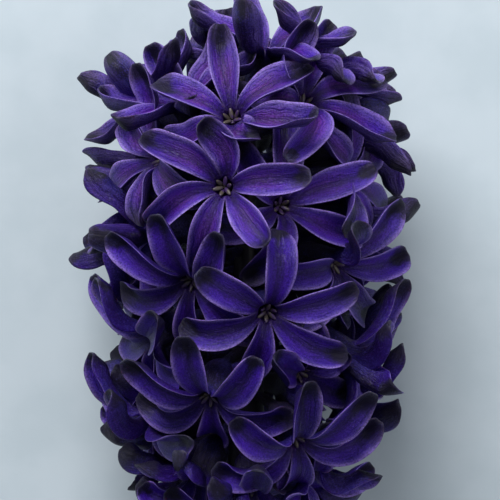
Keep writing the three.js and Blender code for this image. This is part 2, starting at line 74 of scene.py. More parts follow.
@dataclass(frozen=True)
class LobeForm:
    """The shape that every lobe has before it meets its neighbours.

    Attributes:
        length: From the mouth of the tube to the tip, along the curve.
        width: At its widest.
        thickness: Of the fleshy middle.
        cup: How far the margins stand above the middle, as a share of the width.
        foot_width: Of its foot, against the widest.
        widest_at: Share of the length at which it is widest.
        swell: How slowly it widens from its foot.
        narrows: How much narrower it gets before the tip rounds it off.
        bluntness: How bluntly the tip rounds it off.
        throat: Distance of the middle of its foot from the axis of the tube.
        inner_foot: Where the three inner lobes stand, against that.
        outer_foot: The same for the three outer lobes.
        stations: Steps in which it grows.
        inner_start: Angle from the axis at which the three inner lobes start.
        outer_start: The same for the three outer lobes.
        spread: Angle from the axis to which a lobe opens before it curls.
        spread_by: Share of its length by which it has opened.
        sweep_by: Share of its length by which it has swept aside.
        most_lift: How strongly the tips of the lowest florets turn up along the stalk.
        least_lift: The same for the topmost.
        foot_lift: From which the lift fades, so that the lowest florets all have the most.
        lift_fades: Height over which it would fade by 1.
    """

    length: float = 16.5
    width: float = 6.6
    thickness: float = 1.2
    cup: float = 0.28
    foot_width: float = 0.4
    widest_at: float = 0.5
    swell: float = 1.2
    narrows: float = 0.12
    bluntness: float = 4.2
    throat: float = 2.5
    inner_foot: float = 0.95
    outer_foot: float = 1.08
    stations: int = 12
    inner_start: float = 18.0
    outer_start: float = 26.0
    spread: float = 76.0
    spread_by: float = 0.42
    sweep_by: float = 0.7
    most_lift: float = 1.0
    least_lift: float = 0.15
    foot_lift: float = 1.2
    lift_fades: float = 75.0

    def width_at(self, share: float) -> float:
        """Width along a lobe.

        Args:
            share: Of the length, from the foot.

        Returns:
            The width there.
        """
        if share < self.widest_at:
            rise = math.sin(math.pi * share) ** self.swell
            return self.width * (self.foot_width + (1.0 - self.foot_width) * rise)
        rest = (share - self.widest_at) / (1.0 - self.widest_at)
        rounding = math.sqrt(max(0.0, 1.0 - rest**self.bluntness))
        return self.width * (1.0 - self.narrows * rest) * rounding

    def opening(self, share: float, start: float, end: float) -> float:
        """Angle from the axis at a share of the length: quick to open, then curling.

        Args:
            share: Of the length, from the foot.
            start: Angle at the foot.
            end: Angle at the tip.

        Returns:
            The angle in degrees.
        """
        opened = 1.0 - (1.0 - min(1.0, share / self.spread_by)) ** 2
        return start + (self.spread - start) * opened + (end - self.spread) * share**2

    def lift_at(self, height: float) -> float:
        """How strongly the tips of a floret's lobes turn up along the stalk."""
        return min(self.most_lift, max(self.least_lift, self.foot_lift - height / self.lift_fades))


@dataclass(frozen=True)
class NeckForm:
    """The short stalk and the tube of a floret.

    Attributes:
        stalk_radius: Of the short stalk.
        tube_radius: Of the tube at its fullest.
        length: From the mouth back to where the tube turns to the stalk.
        swells_from: Share of the way from the stalk at which the tube starts to swell.
        full_at: Share of the way at which it is fullest.
        narrows: How much it narrows from there to the mouth.
        drops: How far below the bend the short stalk starts, against how far the mouth
            is above it.
        below_top: Least distance of that place from the top of the raceme's stalk.
        sunk: How far the foot is sunk into the raceme's stalk.
        flutes: How far the tube bulges under the three inner lobes, against its radius.
    """

    stalk_radius: float = 1.1
    tube_radius: float = 3.2
    length: float = 9.0
    swells_from: float = 0.35
    full_at: float = 0.6
    narrows: float = 0.2
    drops: float = 0.25
    below_top: float = 2.0
    sunk: float = 1.2
    flutes: float = 0.04

    def radius_at(self, share: float) -> float:
        """Outside radius along a floret's stalk and tube.

        Args:
            share: Of the way from the raceme's stalk to the mouth.

        Returns:
            The radius there.
        """
        if share < self.swells_from:
            return self.stalk_radius
        if share < self.full_at:
            rise = smooth((share - self.swells_from) / (self.full_at - self.swells_from))
            return self.stalk_radius + (self.tube_radius - self.stalk_radius) * rise
        return self.tube_radius - self.narrows * smooth((share - self.full_at) / (1.0 - self.full_at))


@dataclass(frozen=True)
class StalkForm:
    """The stalk, straight through the florets and drooping below them.

    Attributes:
        tilt: Slope of the straight part.
        axis_height: Height above the table at the lowest florets.
        top: Where it ends between the topmost florets.
        bare: Length below the lowest florets.
        cut_radius: At the cut end.
        radius: At the lowest florets.
        top_radius: At the top.
        gap: Kept between it and the florets.
    """

    tilt: float = 4.0
    axis_height: float = 26.8
    top: float = 91.0
    bare: float = 92.0
    cut_radius: float = 5.1
    radius: float = 4.2
    top_radius: float = 1.5
    gap: float = 0.3

    def radius_at(self, height: float) -> float:
        """Radius at a height along the raceme."""
        share = min(1.0, max(0.0, height / self.top))
        return self.radius + (self.top_radius - self.radius) * share

    def floor_at(self, height: float) -> float:
        """Depth of the table below the stalk at a height along the raceme."""
        lean = math.radians(self.tilt)
        return -(self.axis_height + height * math.sin(lean)) / math.cos(lean)


LOBE = LobeForm()
NECK = NeckForm()
STALK = StalkForm()


@dataclass(frozen=True)
class Floret:
    """Where one floret stands and how its lobes lie.

    Attributes:
        height: Of its mouth along the stalk.
        turn: Round the stalk, 0 facing up and 90 facing +x.
        reach: Of its mouth from the middle of the stalk.
        rise: How far it faces towards the tip.
        roll: Where its first lobe sits, from +x.
        curls: Angle from the floret's axis to which each lobe curls back.
        yaw: How far it faces aside.
        aims: Where its lobes go when they sweep aside.
        lengths: Of its lobes, against the usual length.
    """

    height: float
    turn: float
    reach: float
    rise: float
    roll: float
    curls: Sequence[float]
    yaw: float = 0.0
    aims: Optional[Sequence[float]] = None
    lengths: Sequence[float] = (1,) * LOBES


def level(share: float) -> tuple[float, ...]:
    """The same number for all six lobes."""
    return (share,) * LOBES


# Listed with those that show most from above first, because a lobe gives way to all that are there before it.
FLORETS = (
    Floret(68, -11, 23.5, 0, 10, curls=(100, 60, 95, 160, 150, 66),
           aims=(-6, 143, 150, 228, 258, 304), lengths=(1, 0.8, 1.04, 0.95, 1, 0.88)),
    Floret(44, 10, 22.5, -26, 20, curls=(120, 150, 95, 150, 150, 90),
           aims=(0, 86, 166, 212, 262, 322), lengths=(1, 1, 1, 1, 0.9, 1)),
    Floret(81.5, -8, 21, 30, 40, curls=(150, 110, 150, 100, 150, 95), yaw=-2,
           aims=(30, 105, 155, 185, 318, 352), lengths=(1, 1, 1, 1, 0.45, 1)),
    Floret(19, 26, 22, -48, 50, curls=(120, 125, 115, 115, 110, 110),
           aims=(40, 105, 172, 235, 275, 370)),
    Floret(27.5, -20, 21.5, -48, 30, curls=(120, 120, 115, 150, 110, 120),
           aims=(35, 92, 148, 208, 255, 318), lengths=(1, 1, 1, 1, 0.9, 1)),
    Floret(64.5, 20, 20, 0, 30, curls=(100, 140, 130, 140, 100, 140),
           aims=(5, 90, 130, 205, 270, 335), lengths=(1.08, 1, 1, 1, 1, 1)),
    Floret(85, 38, 19, 30, 20, curls=(100, 85, 85, 140, 150, 110), aims=(355, 45, 95, 150, 220, 320)),
    Floret(53, 57, 21, -16, 0, curls=(100, 135, 150, 130, 150, 130), yaw=-8,
           aims=(0, 45, 155, 178, 212, 322)),
    Floret(49.5, -32, 21, -34, 20, curls=(120, 120, 115, 150, 130, 130), yaw=4,
           aims=(48, 98, 145, 200, 265, 310)),
    Floret(22.5, -73, 20, -48, 30, curls=(150, 140, 130, 140, 190, 170), yaw=-4,
           aims=(40, 90, 150, 210, 270, 315)),
    Floret(94.5, 24, 9.5, 68, 30, curls=(70, 70, 80, 90, 100, 80)),
    Floret(84.5, -50, 15.5, 56, 30, curls=(70, 55, 50, 60, 85, 80), lengths=(1, 1, 1, 1, 1, 0.45)),
    Floret(74, -59, 20.5, 12, 30, curls=(130, 140, 110, 130, 130, 130),
           aims=(30, 110, 150, 210, 270, 330), lengths=(0.65, 1, 0.75, 1, 0.75, 1)),
    Floret(70, 69, 21, 8, 30, curls=(120, 110, 130, 140, 130, 120)),
    Floret(31.5, 43, 16, -30, 40, curls=level(120), lengths=(0.5, 0.6, 1, 1, 1, 0.6)),
    Floret(90, 72, 14.5, 48, 10, curls=(110, 110, 130, 140, 110, 100)),
    Floret(35.5, 70, 21, -34, 20, curls=level(120)),
    Floret(38.5, -70, 20, -32, 10, curls=(120, 130, 120, 130, 130, 120)),
    Floret(59, -82, 20, -14, 0, curls=(130, 120, 110, 120, 130, 130)),
    Floret(79, 95, 19, 25, 30, curls=(120, 120, 130, 140, 130, 120)),
    Floret(46, 98, 20, -20, 30, curls=(120, 120, 130, 130, 130, 120), lengths=(1, 1, 0.85, 1, 1, 1)),
    Floret(62.5, 96, 19.5, 5, 10, curls=(120, 130, 130, 130, 130, 130), lengths=(1, 1, 0.45, 1, 1, 1)),
    Floret(26, 98, 19.5, -38, 0, curls=level(120)),
    Floret(84.5, -94, 18, 45, 0, curls=(70, 60, 70, 90, 90, 80)),
    Floret(12, 62, 14, -60, 20, curls=level(110), lengths=level(0.8)),
    Floret(11.5, -46, 12.5, -62, 50, curls=level(110), lengths=level(0.8)),
    Floret(9, 4, 13.5, -58, 30, curls=level(110)),
    Floret(64.5, -108, 19.5, 8, 30, curls=level(120)),
    Floret(47.5, -100, 20, -22, 18, curls=level(120), lengths=(1, 1, 1, 1, 1, 0.55)),
    Floret(29.5, -104, 16.5, -34, 0, curls=level(120), lengths=level(0.8)),
    Floret(11, 110, 12, -58, 20, curls=level(110), lengths=level(0.75)),
    Floret(11, -102, 12, -58, 10, curls=level(110), lengths=level(0.75)),
    Floret(82, 172, 21, 28, 10, curls=level(140)),
    Floret(70, 166, 22, 8, 40, curls=level(140)),
    Floret(64, 200, 20.5, 2, 0, curls=level(140)),
    Floret(50, 148, 21, -4, 30, curls=level(140)),
    Floret(44, 188, 21.5, -8, 10, curls=level(140)),
    Floret(54, 234, 21, 0, 50, curls=level(140)),
    Floret(20, 206, 20.5, -26, 20, curls=level(140)),
    Floret(29, 162, 19.5, -12, 10, curls=level(140)),
    Floret(85, 216, 18.5, 34, 30, curls=level(140), lengths=level(0.85)),
    Floret(87, 130, 17, 42, 0, curls=level(140)),
    Floret(95, 204, 9.5, 66, 30, curls=level(115), lengths=level(0.75)),
    Floret(74, 122, 20, 16, 20, curls=level(140)),
    Floret(32, 230, 17, -12, 0, curls=level(140), lengths=level(0.85)),
    Floret(11, 228, 12.5, -55, 30, curls=level(110), lengths=level(0.8)),
    Floret(11.5, 138, 12.5, -55, 24, curls=level(110), lengths=level(0.8)),
    Floret(9, 180, 14, -52, 20, curls=level(110)),
    Floret(37, 126, 20.5, -10, 20, curls=level(140)),
    Floret(60, 126, 20, 4, 50, curls=level(140)),
    Floret(76, 238, 20, 16, 22, curls=level(140)),
    Floret(19.5, 250, 17, -24, 0, curls=level(140), lengths=level(0.8)),
)

# How a lobe gives way to its neighbours, the gentlest first: as a whole, by curl and
# sweep, and at each step of its growth, by bend and sweep.
HABITS = (
    (0, 0), (-20, 0), (20, 0), (0, 12), (0, -12), (-40, 0), (40, 0),
    (-20, 14), (-20, -14), (25, 14), (25, -14), (0, 26), (0, -26),
)
YIELDS = (
    (0, 0), (-5, 0), (5, 0), (-10, 0), (10, 0), (-16, 0), (0, 8),
    (0, -8), (16, 0), (-24, 0), (-12, 10), (-12, -10), (22, 0), (-32, 0),
)
HABIT_COST = 0.02  # what each habit further down the list costs, in mm of crowding
MATTERS = 0.03  # mm of room by which one way of yielding has to beat another
STRAIGHTENS = 0.93  # share of a forced bend that the next step keeps

# The room that is kept while the lobes grow, in millimetres.
CLEARANCE = 1.6  # between the middle surfaces of two lobes
OWN_SLACK = 0.1  # how much nearer the lobes of one floret may come to each other
TUBE_CLEARANCE = 0.9  # between a lobe and another floret's tube
NECK_CLEARANCE = 0.1  # between the raceme's stalk and a floret, beyond the gap
FLOOR_CLEARANCE = 0.3  # between a lobe and the table
FLOOR_WEIGHT = 3.0  # how much more a lobe minds the table than its neighbours
LOBES_MEET = 24.0  # how far from its mouth a floret meets others' lobes
TUBES_MEET = 26.0  # the same for others' tubes
LOBE_NEARBY = 7.0  # how near a lobe has to be to count at a step
TUBE_NEARBY = 11.0  # the same for a tube
AMPLE = 9.0  # room that is as good as any more

TUBE_POINTS = 10  # steps along a tube where lobes look out for it
FOOT_FROM = 2  # station from which a lobe takes up room
BLADE_FROM = 5  # station from which it stands clear of its own floret


def smooth(x: float) -> float:
    """A soft step from 0 to 1."""
    x = min(1.0, max(0.0, x))
    return x * x * (3.0 - 2.0 * x)


def cross(a: np.ndarray, b: np.ndarray) -> np.ndarray:
    """Cross product of two plain vectors."""
    return np.array(
        [a[1] * b[2] - a[2] * b[1], a[2] * b[0] - a[0] * b[2], a[0] * b[1] - a[1] * b[0]]
    )


def unit(v: np.ndarray) -> np.ndarray:
    """A vector brought to length 1."""
    return v / math.sqrt(float(v @ v))


def turn_between(wanted: float | np.ndarray, given: float) -> float | np.ndarray:
    """The shortest turn from one direction to another, in degrees."""
    return (wanted - given + 180.0) % 360.0 - 180.0


@dataclass
class Facing:
    """The frame of a floret's face: its mouth and three directions."""

    throat: np.ndarray
    axis: np.ndarray
    up: np.ndarray
    side: np.ndarray

    @classmethod
    def of(cls, floret: Floret) -> "Facing":
        """Works out the frame of a floret.

        Args:
            floret: Its numbers.

        Returns:
            The frame.
        """
        turn = math.radians(floret.turn)
        look = math.radians(floret.turn + floret.yaw)
        rise = math.radians(floret.rise)
        return cls(
            np.array([floret.reach * math.sin(turn), floret.height, floret.reach * math.cos(turn)]),
            np.array([math.cos(rise) * math.sin(look), math.sin(rise), math.cos(rise) * math.cos(look)]),
            np.array([-math.sin(rise) * math.sin(look), math.cos(rise), -math.sin(rise) * math.cos(look)]),
            np.array([math.cos(look), 0.0, -math.sin(look)]),
        )

    def radial(self, azimuth: float) -> np.ndarray:
        """The direction at an azimuth in the plane of the face."""
        a = math.radians(azimuth)
        return self.side * math.cos(a) + self.up * math.sin(a)


@dataclass
class Neck:
    """The middle line of a floret's stalk and tube: a curve with one bend."""

    start: np.ndarray
    bend: np.ndarray
    mouth: np.ndarray

    @classmethod
    def of(cls, facing: Facing) -> "Neck":
        """Works out the line from the stalk of the raceme to a floret's mouth.

        Args:
            facing: Frame of the floret.

        Returns:
            The line.
        """
        out = unit(np.array([facing.throat[0], 0.0, facing.throat[2]]))
        bend = facing.throat - facing.axis * NECK.length
        foot = bend[1] - NECK.drops * (facing.throat[1] - bend[1])
        inside = np.array([0.0, min(foot, STALK.top - NECK.below_top), 0.0])
        off = STALK.radius_at(foot) + STALK.gap + NECK_CLEARANCE
        return cls(inside + out * off, bend, facing.throat)

    def at(self, share: float) -> np.ndarray:
        """The point at a share of the way."""
        q = 1.0 - share
        return self.start * q * q + self.bend * (2.0 * share * q) + self.mouth * share * share

    def tangent(self, share: float) -> np.ndarray:
        """The direction at a share of the way."""
        return unit((self.bend - self.start) * (1.0 - share) + (self.mouth - self.bend) * share)


@dataclass
class Station:
    """One place along a grown lobe.

    Attributes:
        middle: The point on the middle line.
        along: Direction to the tip.
        wide: Direction to the right margin.
        face: Direction that the inner face looks.
        width: Of the lobe here.
    """

    middle: np.ndarray
    along: np.ndarray
    wide: np.ndarray
    face: np.ndarray
    width: float

    def row(self) -> np.ndarray:
        """Points from margin to margin of the cupped middle surface."""
        flat = np.outer(ACROSS * (self.width / 2.0), self.wide)
        return self.middle + flat + np.outer(DISH * (LOBE.cup * self.width), self.face)


@dataclass
class GrownFloret:
    """A floret with its place settled and its six lobes grown."""

    facing: Facing
    neck: Neck
    roll: float
    lobes: list[list[Station]]


class Thicket:
    """What is already placed round a growing floret, and how much room it leaves."""

    def __init__(self, facings: list[Facing], necks: list[Neck]) -> None:
        """Notes the tubes of all florets.

        Args:
            facings: Frames of the florets.
            necks: Middle lines of their tubes.
        """
        shares = [k / TUBE_POINTS for k in range(TUBE_POINTS + 1)]
        girths = [NECK.radius_at(share) + TUBE_CLEARANCE for share in shares]
        self.facings = facings
        self.tube_points = np.array([neck.at(share) for neck in necks for share in shares])
        self.tube_girth = np.array(girths * len(necks))
        self.tube_owner = np.repeat(np.arange(len(necks)), len(shares))
        self.placed = np.zeros((0, 3))
        self.own = np.zeros((0, 3))
        self.near = np.zeros((0, 3))
        self.tubes = np.zeros((0, 3))
        self.girth = np.zeros(0)

    def gather(self, index: int) -> None:
        """Collects what could touch one floret, before its lobes grow.

        Args:
            index: Of the floret.
        """
        throat = self.facings[index].throat
        self.near = self.placed[(np.abs(self.placed - throat) < LOBES_MEET).all(1)]
        reached = np.linalg.norm(self.tube_points - throat, axis=1) < TUBES_MEET
        pick = reached & (self.tube_owner != index)
        self.tubes = self.tube_points[pick]
        self.girth = self.tube_girth[pick]
        self.own = np.zeros((0, 3))

    def around(self, here: np.ndarray, past_foot: bool) -> Callable[[np.ndarray, float], float]:
        """A measure of the room that a row of points has near a place.

        Args:
            here: The place from which the next step is taken.
            past_foot: Whether the floret's own other lobes count.

        Returns:
            A function of a row and its height that gives the room, below 0 when tight.
        """
        others = self.near[((self.near - here) ** 2).sum(1) < LOBE_NEARBY**2]
        mine = self.own[((self.own - here) ** 2).sum(1) < LOBE_NEARBY**2] if past_foot else self.own[:0]
        close = ((self.tubes - here) ** 2).sum(1) < TUBE_NEARBY**2
        tubes = self.tubes[close]
        girth = self.girth[close]

        def room(row: np.ndarray, height: float) -> float:
            """Measures the room of a row.

            Args:
                row: Its points.
                height: Of its middle along the stalk.

            Returns:
                The least room, below 0 when tight.
            """
            least = AMPLE
            if len(others):
                gap = ((row[:, None] - others[None]) ** 2).sum(2).min()
                least = min(least, math.sqrt(gap) - CLEARANCE)
            if len(mine):
                gap = ((row[:, None] - mine[None]) ** 2).sum(2).min()
                least = min(least, math.sqrt(gap) - CLEARANCE + OWN_SLACK)
            if len(tubes):
                gaps = np.sqrt(((row[:, None] - tubes[None]) ** 2).sum(2)) - girth
                least = min(least, gaps.min())
            lift = row[:, 2].min() - STALK.floor_at(height) - FLOOR_CLEARANCE
            return min(least, FLOOR_WEIGHT * lift)

        return room


class Grower:
    """Grows the lobes of every floret in turn, each giving way to those before it."""

    def __init__(self, florets: Sequence[Floret]) -> None:
        """Settles the florets' places.

        Args:
            florets: The florets in the order in which they grow.
        """
        self.florets = florets
        self.facings = [Facing.of(f) for f in florets]
        self.necks = [Neck.of(f) for f in self.facings]
        self.thicket = Thicket(self.facings, self.necks)

    def run(self) -> list[GrownFloret]:
        """Grows everything.

        Returns:
            The florets in their order.
        """
        grown = []
        for index, floret in enumerate(self.florets):
            self.thicket.gather(index)
            lobes = []
            feet = []
            for k in range(LOBES):
                stations = self._lobe(floret, self.facings[index], k)
                lobes.append(stations)
                blade = [s.row() for s in stations[BLADE_FROM:]]
                self.thicket.own = np.vstack([self.thicket.own] + blade)
                feet += [s.row() for s in stations[FOOT_FROM:BLADE_FROM]]
            self.thicket.placed = np.vstack([self.thicket.placed, self.thicket.own] + feet)
            grown.append(GrownFloret(self.facings[index], self.necks[index], floret.roll, lobes))
        return grown

    def _lobe(self, floret: Floret, facing: Facing, k: int) -> list[Station]:
        """Grows one lobe in the first habit that finds room, or in the least crowded one.

        Args:
            floret: The floret's numbers.
            facing: Its frame.
            k: Which of its lobes, the inner ones even.

        Returns:
            The lobe's stations from foot to tip.
        """
        inner = k % 2 == 0
        start = LOBE.inner_start if inner else LOBE.outer_start
        sits = floret.roll + SIXTH * k
        sweep = 0.0
        if floret.aims is not None:
            sweep = turn_between(floret.aims[k], sits)
        foot = LOBE.inner_foot if inner else LOBE.outer_foot
        root = facing.throat + facing.radial(sits) * (LOBE.throat * foot)
        step = LOBE.length * floret.lengths[k] / LOBE.stations
        lift = LOBE.lift_at(floret.height)
        best: Optional[tuple[float, list[np.ndarray], list[np.ndarray]]] = None
        for rank, (more_curl, more_sweep) in enumerate(HABITS):
            end = floret.curls[k] + more_curl
            lean = sweep + more_sweep

            def way(share: float, bend: float, aside: float) -> tuple[np.ndarray, np.ndarray]:
                """Works out where the lobe heads.

                Args:
                    share: Of its length.
                    bend: How far it has been bent.
                    aside: How far it has been turned aside.

                Returns:
                    The direction of growth and the direction of the width.
                """
                theta = math.radians(LOBE.opening(share, start, end) + bend)
                out = facing.radial(sits + lean * smooth(share / LOBE.sweep_by) + aside)
                ahead = facing.axis * math.cos(theta) + out * math.sin(theta)
                up = np.array([0.0, lift * share**1.5, 0.0])
                face = cross(ahead, cross(facing.axis, out)) + up
                ahead = unit(ahead + up)
                return ahead, cross(unit(face - ahead * float(face @ ahead)), ahead)

            crowding, line, wides = self._march(root, step, way)
            cost = crowding + HABIT_COST * rank
            if best is None or cost < best[0]:
                best = (cost, line, wides)
            if crowding <= 0.0:
                break
        return self._stations(best[1], best[2])

    def _march(
        self,
        root: np.ndarray,
        step: float,
        way: Callable[[float, float, float], tuple[np.ndarray, np.ndarray]],
    ) -> tuple[float, list[np.ndarray], list[np.ndarray]]:
        """Grows a lobe step by step, each step yielding as little as it can.

        Args:
            root: Where the lobe starts.
            step: Length of one step.
            way: Gives the natural direction and width at a share of the length.

        Returns:
            How crowded the lobe is, its middle line and its width directions.
        """
        bend = 0.0
        aside = 0.0
        crowding = 0.0
        line = [root]
        wides = [way(0.0, 0.0, 0.0)[1]]
        for j in range(1, LOBE.stations + 1):
            share = j / LOBE.stations
            width = LOBE.width_at(share)
            room_of = self.thicket.around(line[-1], j >= BLADE_FROM)
            pick: Optional[tuple[float, np.ndarray, np.ndarray, float, float]] = None
            for more_bend, more_aside in YIELDS:
                ahead, wide = way(share, bend + more_bend, aside + more_aside)
                middle = line[-1] + ahead * step
                row = Station(middle, ahead, wide, cross(ahead, wide), width).row()
                room = room_of(row, middle[1])
                if pick is None or room >= 0.0 or room > pick[0] + MATTERS:
                    pick = (room, wide, middle, more_bend, more_aside)
                if room >= 0.0:
                    break
            if pick[0] < 0.0:
                crowding -= pick[0]
            bend = (bend + pick[3]) * STRAIGHTENS
            aside += pick[4]
            line.append(pick[2])
            wides.append(pick[1])
        return crowding, line, wides

    @staticmethod
    def _stations(line: list[np.ndarray], wides: list[np.ndarray]) -> list[Station]:
        """Turns a middle line into stations with square frames.

        Args:
            line: Points of the middle line.
            wides: Directions of the width there.

        Returns:
            One station for each point.
        """
        last = len(line) - 1
        made = []
        for j, middle in enumerate(line):
            along = unit(line[min(last, j + 1)] - line[max(0, j - 1)])
            wide = unit(wides[j] - along * float(wides[j] @ along))
            made.append(Station(middle, along, wide, cross(along, wide), LOBE.width_at(j / last)))
        return made


class Bed:
    """Carries the raceme's own frame, in millimetres, to the table's frame, in metres."""

    def __init__(self) -> None:
        """Finds the flower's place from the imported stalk."""
        low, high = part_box("stem")
        lean = math.radians(STALK.tilt)
        self.turn = np.array(
            [[1, 0, 0], [0, math.cos(lean), -math.sin(lean)], [0, math.sin(lean), math.cos(lean)]]
        )
        top_y = STALK.top * math.cos(lean) + STALK.top_radius * math.sin(lean)
        top_z = STALK.axis_height + STALK.top * math.sin(lean) + STALK.top_radius * math.cos(lean)
        self.shift = np.array(
            [(low[0] + high[0]) / 2.0, high[1] - top_y * MM, high[2] - top_z * MM]
        )

    def place(self, point: np.ndarray) -> np.ndarray:
        """A point of the raceme on the table."""
        lifted = self.turn @ point + np.array([0.0, 0.0, STALK.axis_height])
        return lifted * MM + self.shift

    def plain(self, point: Sequence[float]) -> np.ndarray:
        """A point given level with the table, in millimetres, from the raceme's foot."""
        return np.array(point) * MM + self.shift

    def direct(self, direction: np.ndarray) -> np.ndarray:
        """A direction of the raceme on the table."""
        return self.turn @ direction


# ------------------------------------------------------------------ modelling by hand
def deselect() -> None:
    """Leaves nothing selected, so that an operator acts only on what follows."""
    bpy.ops.object.select_all(action="DESELECT")


def take(piece: bpy.types.Object) -> None:
    """Makes one piece the selected and active one."""
    deselect()
    piece.select_set(True)
    bpy.context.view_layer.objects.active = piece


def select_faces(piece: bpy.types.Object, keep: Callable[[Vector], bool]) -> None:
    """Selects, in edit mode, only the faces whose middle passes a test.

    Args:
        piece: The mesh being edited.
        keep: The test on a face's middle.
    """
    bpy.ops.mesh.select_mode(type="FACE")
    bpy.ops.mesh.select_all(action="DESELECT")
    mesh = bmesh.from_edit_mesh(piece.data)
    for face in mesh.faces:
        if keep(face.calc_center_median()):
            face.select_set(True)
    mesh.select_flush(True)
    bmesh.update_edit_mesh(piece.data)


def pull(rise: float) -> None:
    """Extrudes the selected faces along +Z."""
    bpy.ops.mesh.extrude_region_move(TRANSFORM_OT_translate={"value": (0.0, 0.0, rise)})


def scale_to(now: float, wanted: float) -> float:
    """Resizes what is selected about the Z axis.

    Args:
        now: Its radius.
        wanted: The radius that it gets.

    Returns:
        The new radius.
    """
    share = wanted / now
    bpy.ops.transform.resize(value=(share, share, 1.0), center_override=(0.0, 0.0, 0.0))
    return wanted


@dataclass
class FloretMould:
    """A floret drawn out straight along +Z, the mouth of its tube at the origin.

    It is a closed tube with six upright strips on its rim. Each point remembers where on
    the floret it belongs, and a posed copy takes its place from that.

    Attributes:
        sides: Faces round the tube, a sixth of them under each lobe.
        neck: Length of the stalk and tube.
        rings: Share of the neck at each ring.
        cavity: Depth and radius of each ring inside the tube.
        rim: Outside radius at the mouth.
        mouth: Inside radius at the mouth.
        closing: Share of the radius by which the bottom of the hollow is inset.
        thinnest: A point of the tube counts as inside when it is this far in from the
            outside, at the least.
        slack: How far a point may be from where it was drawn.
        rows: Stations at which the lobes have a row of points.
        lobe: For each point, its lobe, or less than 0 on the tube.
        across: From -1 at one margin of its lobe to 1 at the other.
        along: Station on its lobe, or share of the neck below the mouth.
        inner: 1 on the inner side and 0 on the outer one.
        angle: Round the tube's axis.
        girth: Distance from the tube's axis.
    """

    sides: int = 36
    neck: float = 18.0
    rings: tuple[float, ...] = (0.0, 0.14, 0.28, 0.38, 0.46, 0.54, 0.62, 0.72, 0.82, 0.92)
    cavity: tuple[tuple[float, float], ...] = ((1.6, 1.7), (3.4, 1.9), (5.0, 1.8), (5.8, 1.2))
    rim: float = 3.05
    mouth: float = 1.6
    closing: float = 0.5
    thinnest: float = 0.6
    slack: float = 0.1
    rows: tuple[float, ...] = (0.9, 1.9, 3, 4, 5, 6, 7, 8, 9, 9.9, 10.7, 11.35, 11.8)
    lobe: np.ndarray = field(default=None, init=False)
    across: np.ndarray = field(default=None, init=False)
    along: np.ndarray = field(default=None, init=False)
    inner: np.ndarray = field(default=None, init=False)
    angle: np.ndarray = field(default=None, init=False)
    girth: np.ndarray = field(default=None, init=False)

    def build(self) -> bpy.types.Object:
        """Models the pattern.

        Returns:
            The pattern as an object, which is removed when all copies are made.
        """
        deselect()
        bpy.ops.mesh.primitive_circle_add(
            vertices=self.sides,
            radius=NECK.stalk_radius * MM,
            fill_type="NGON",
            location=(0.0, 0.0, 0.0),
            enter_editmode=True,
        )
        piece = bpy.context.object
        piece.name = "floret_mould"
        bpy.ops.transform.translate(value=(0.0, 0.0, -self.neck * MM))
        self._tube()
        self._lobes(piece)
        bpy.ops.object.mode_set(mode="OBJECT")
        self._remember(piece.data)
        self._chart(piece.data)
        return piece

    def _tube(self) -> None:
        """Draws the stalk and tube up to the rim, and its hollow back down."""
        radius = NECK.stalk_radius
        for last, share in zip(self.rings, self.rings[1:] + (1.0,)):
            pull((share - last) * self.neck * MM)
            radius = scale_to(radius, NECK.radius_at(share) if share < 1.0 else self.rim)
        pull(0.0)
        radius = scale_to(radius, self.mouth)
        depth = 0.0
        for down, wanted in self.cavity:
            pull((depth - down) * MM)
            radius = scale_to(radius, wanted)
            depth = down
        bpy.ops.mesh.inset(thickness=self.closing * radius * MM)

    def _lobes(self, piece: bpy.types.Object) -> None:
        """Draws each lobe up from its sixth of the rim.

        Args:
            piece: The pattern, being edited.
        """
        for k in range(LOBES):

            def on_rim(point: Vector) -> bool:
                """Whether a face is on this lobe's part of the rim."""
                turn = turn_between(math.degrees(math.atan2(point.y, point.x)), SIXTH * k)
                flat = abs(point.z) < self.slack * MM
                on_it = self.mouth * MM < point.xy.length < self.rim * MM
                return flat and on_it and abs(turn) < SIXTH / 2.0

            select_faces(piece, on_rim)
            last = 0.0
            for row in self.rows:
                pull((row - last) * MM)
                last = row

    def _remember(self, mesh: bpy.types.Mesh) -> None:
        """Notes for every point its lobe, its place on the lobe and its place round the tube.

        Args:
            mesh: The finished pattern's.
        """
        flat = np.zeros(len(mesh.vertices) * 3)
        mesh.vertices.foreach_get("co", flat)
        x, y, z = (flat.reshape(-1, 3) / MM).T
        angle = np.degrees(np.arctan2(y, x))
        radius = np.hypot(x, y)
        above = z > self.slack
        middle = (self.rim + self.mouth) / 2.0
        self.lobe = np.full(len(z), -1)
        self.across = np.zeros(len(z))
        self.angle = angle
        self.girth = radius
        self.along = np.where(above, z, z / self.neck)
        self.inner = np.where(above, radius < middle, self._in_hollow(radius, z)).astype(float)
        self._share_out(mesh, above)

    def _in_hollow(self, radius: np.ndarray, z: np.ndarray) -> np.ndarray:
        """Whether points of the tube lie inside it.

        Args:
            radius: Distance of each point from the axis.
            z: Height of each point.

        Returns:
            True for the points of the hollow.
        """
        outside = np.array([NECK.radius_at(1.0 + h / self.neck) for h in np.minimum(z, 0.0)])
        bottom = -self.cavity[-1][0]
        return (radius < outside - self.thinnest) & (z > bottom - self.slack)

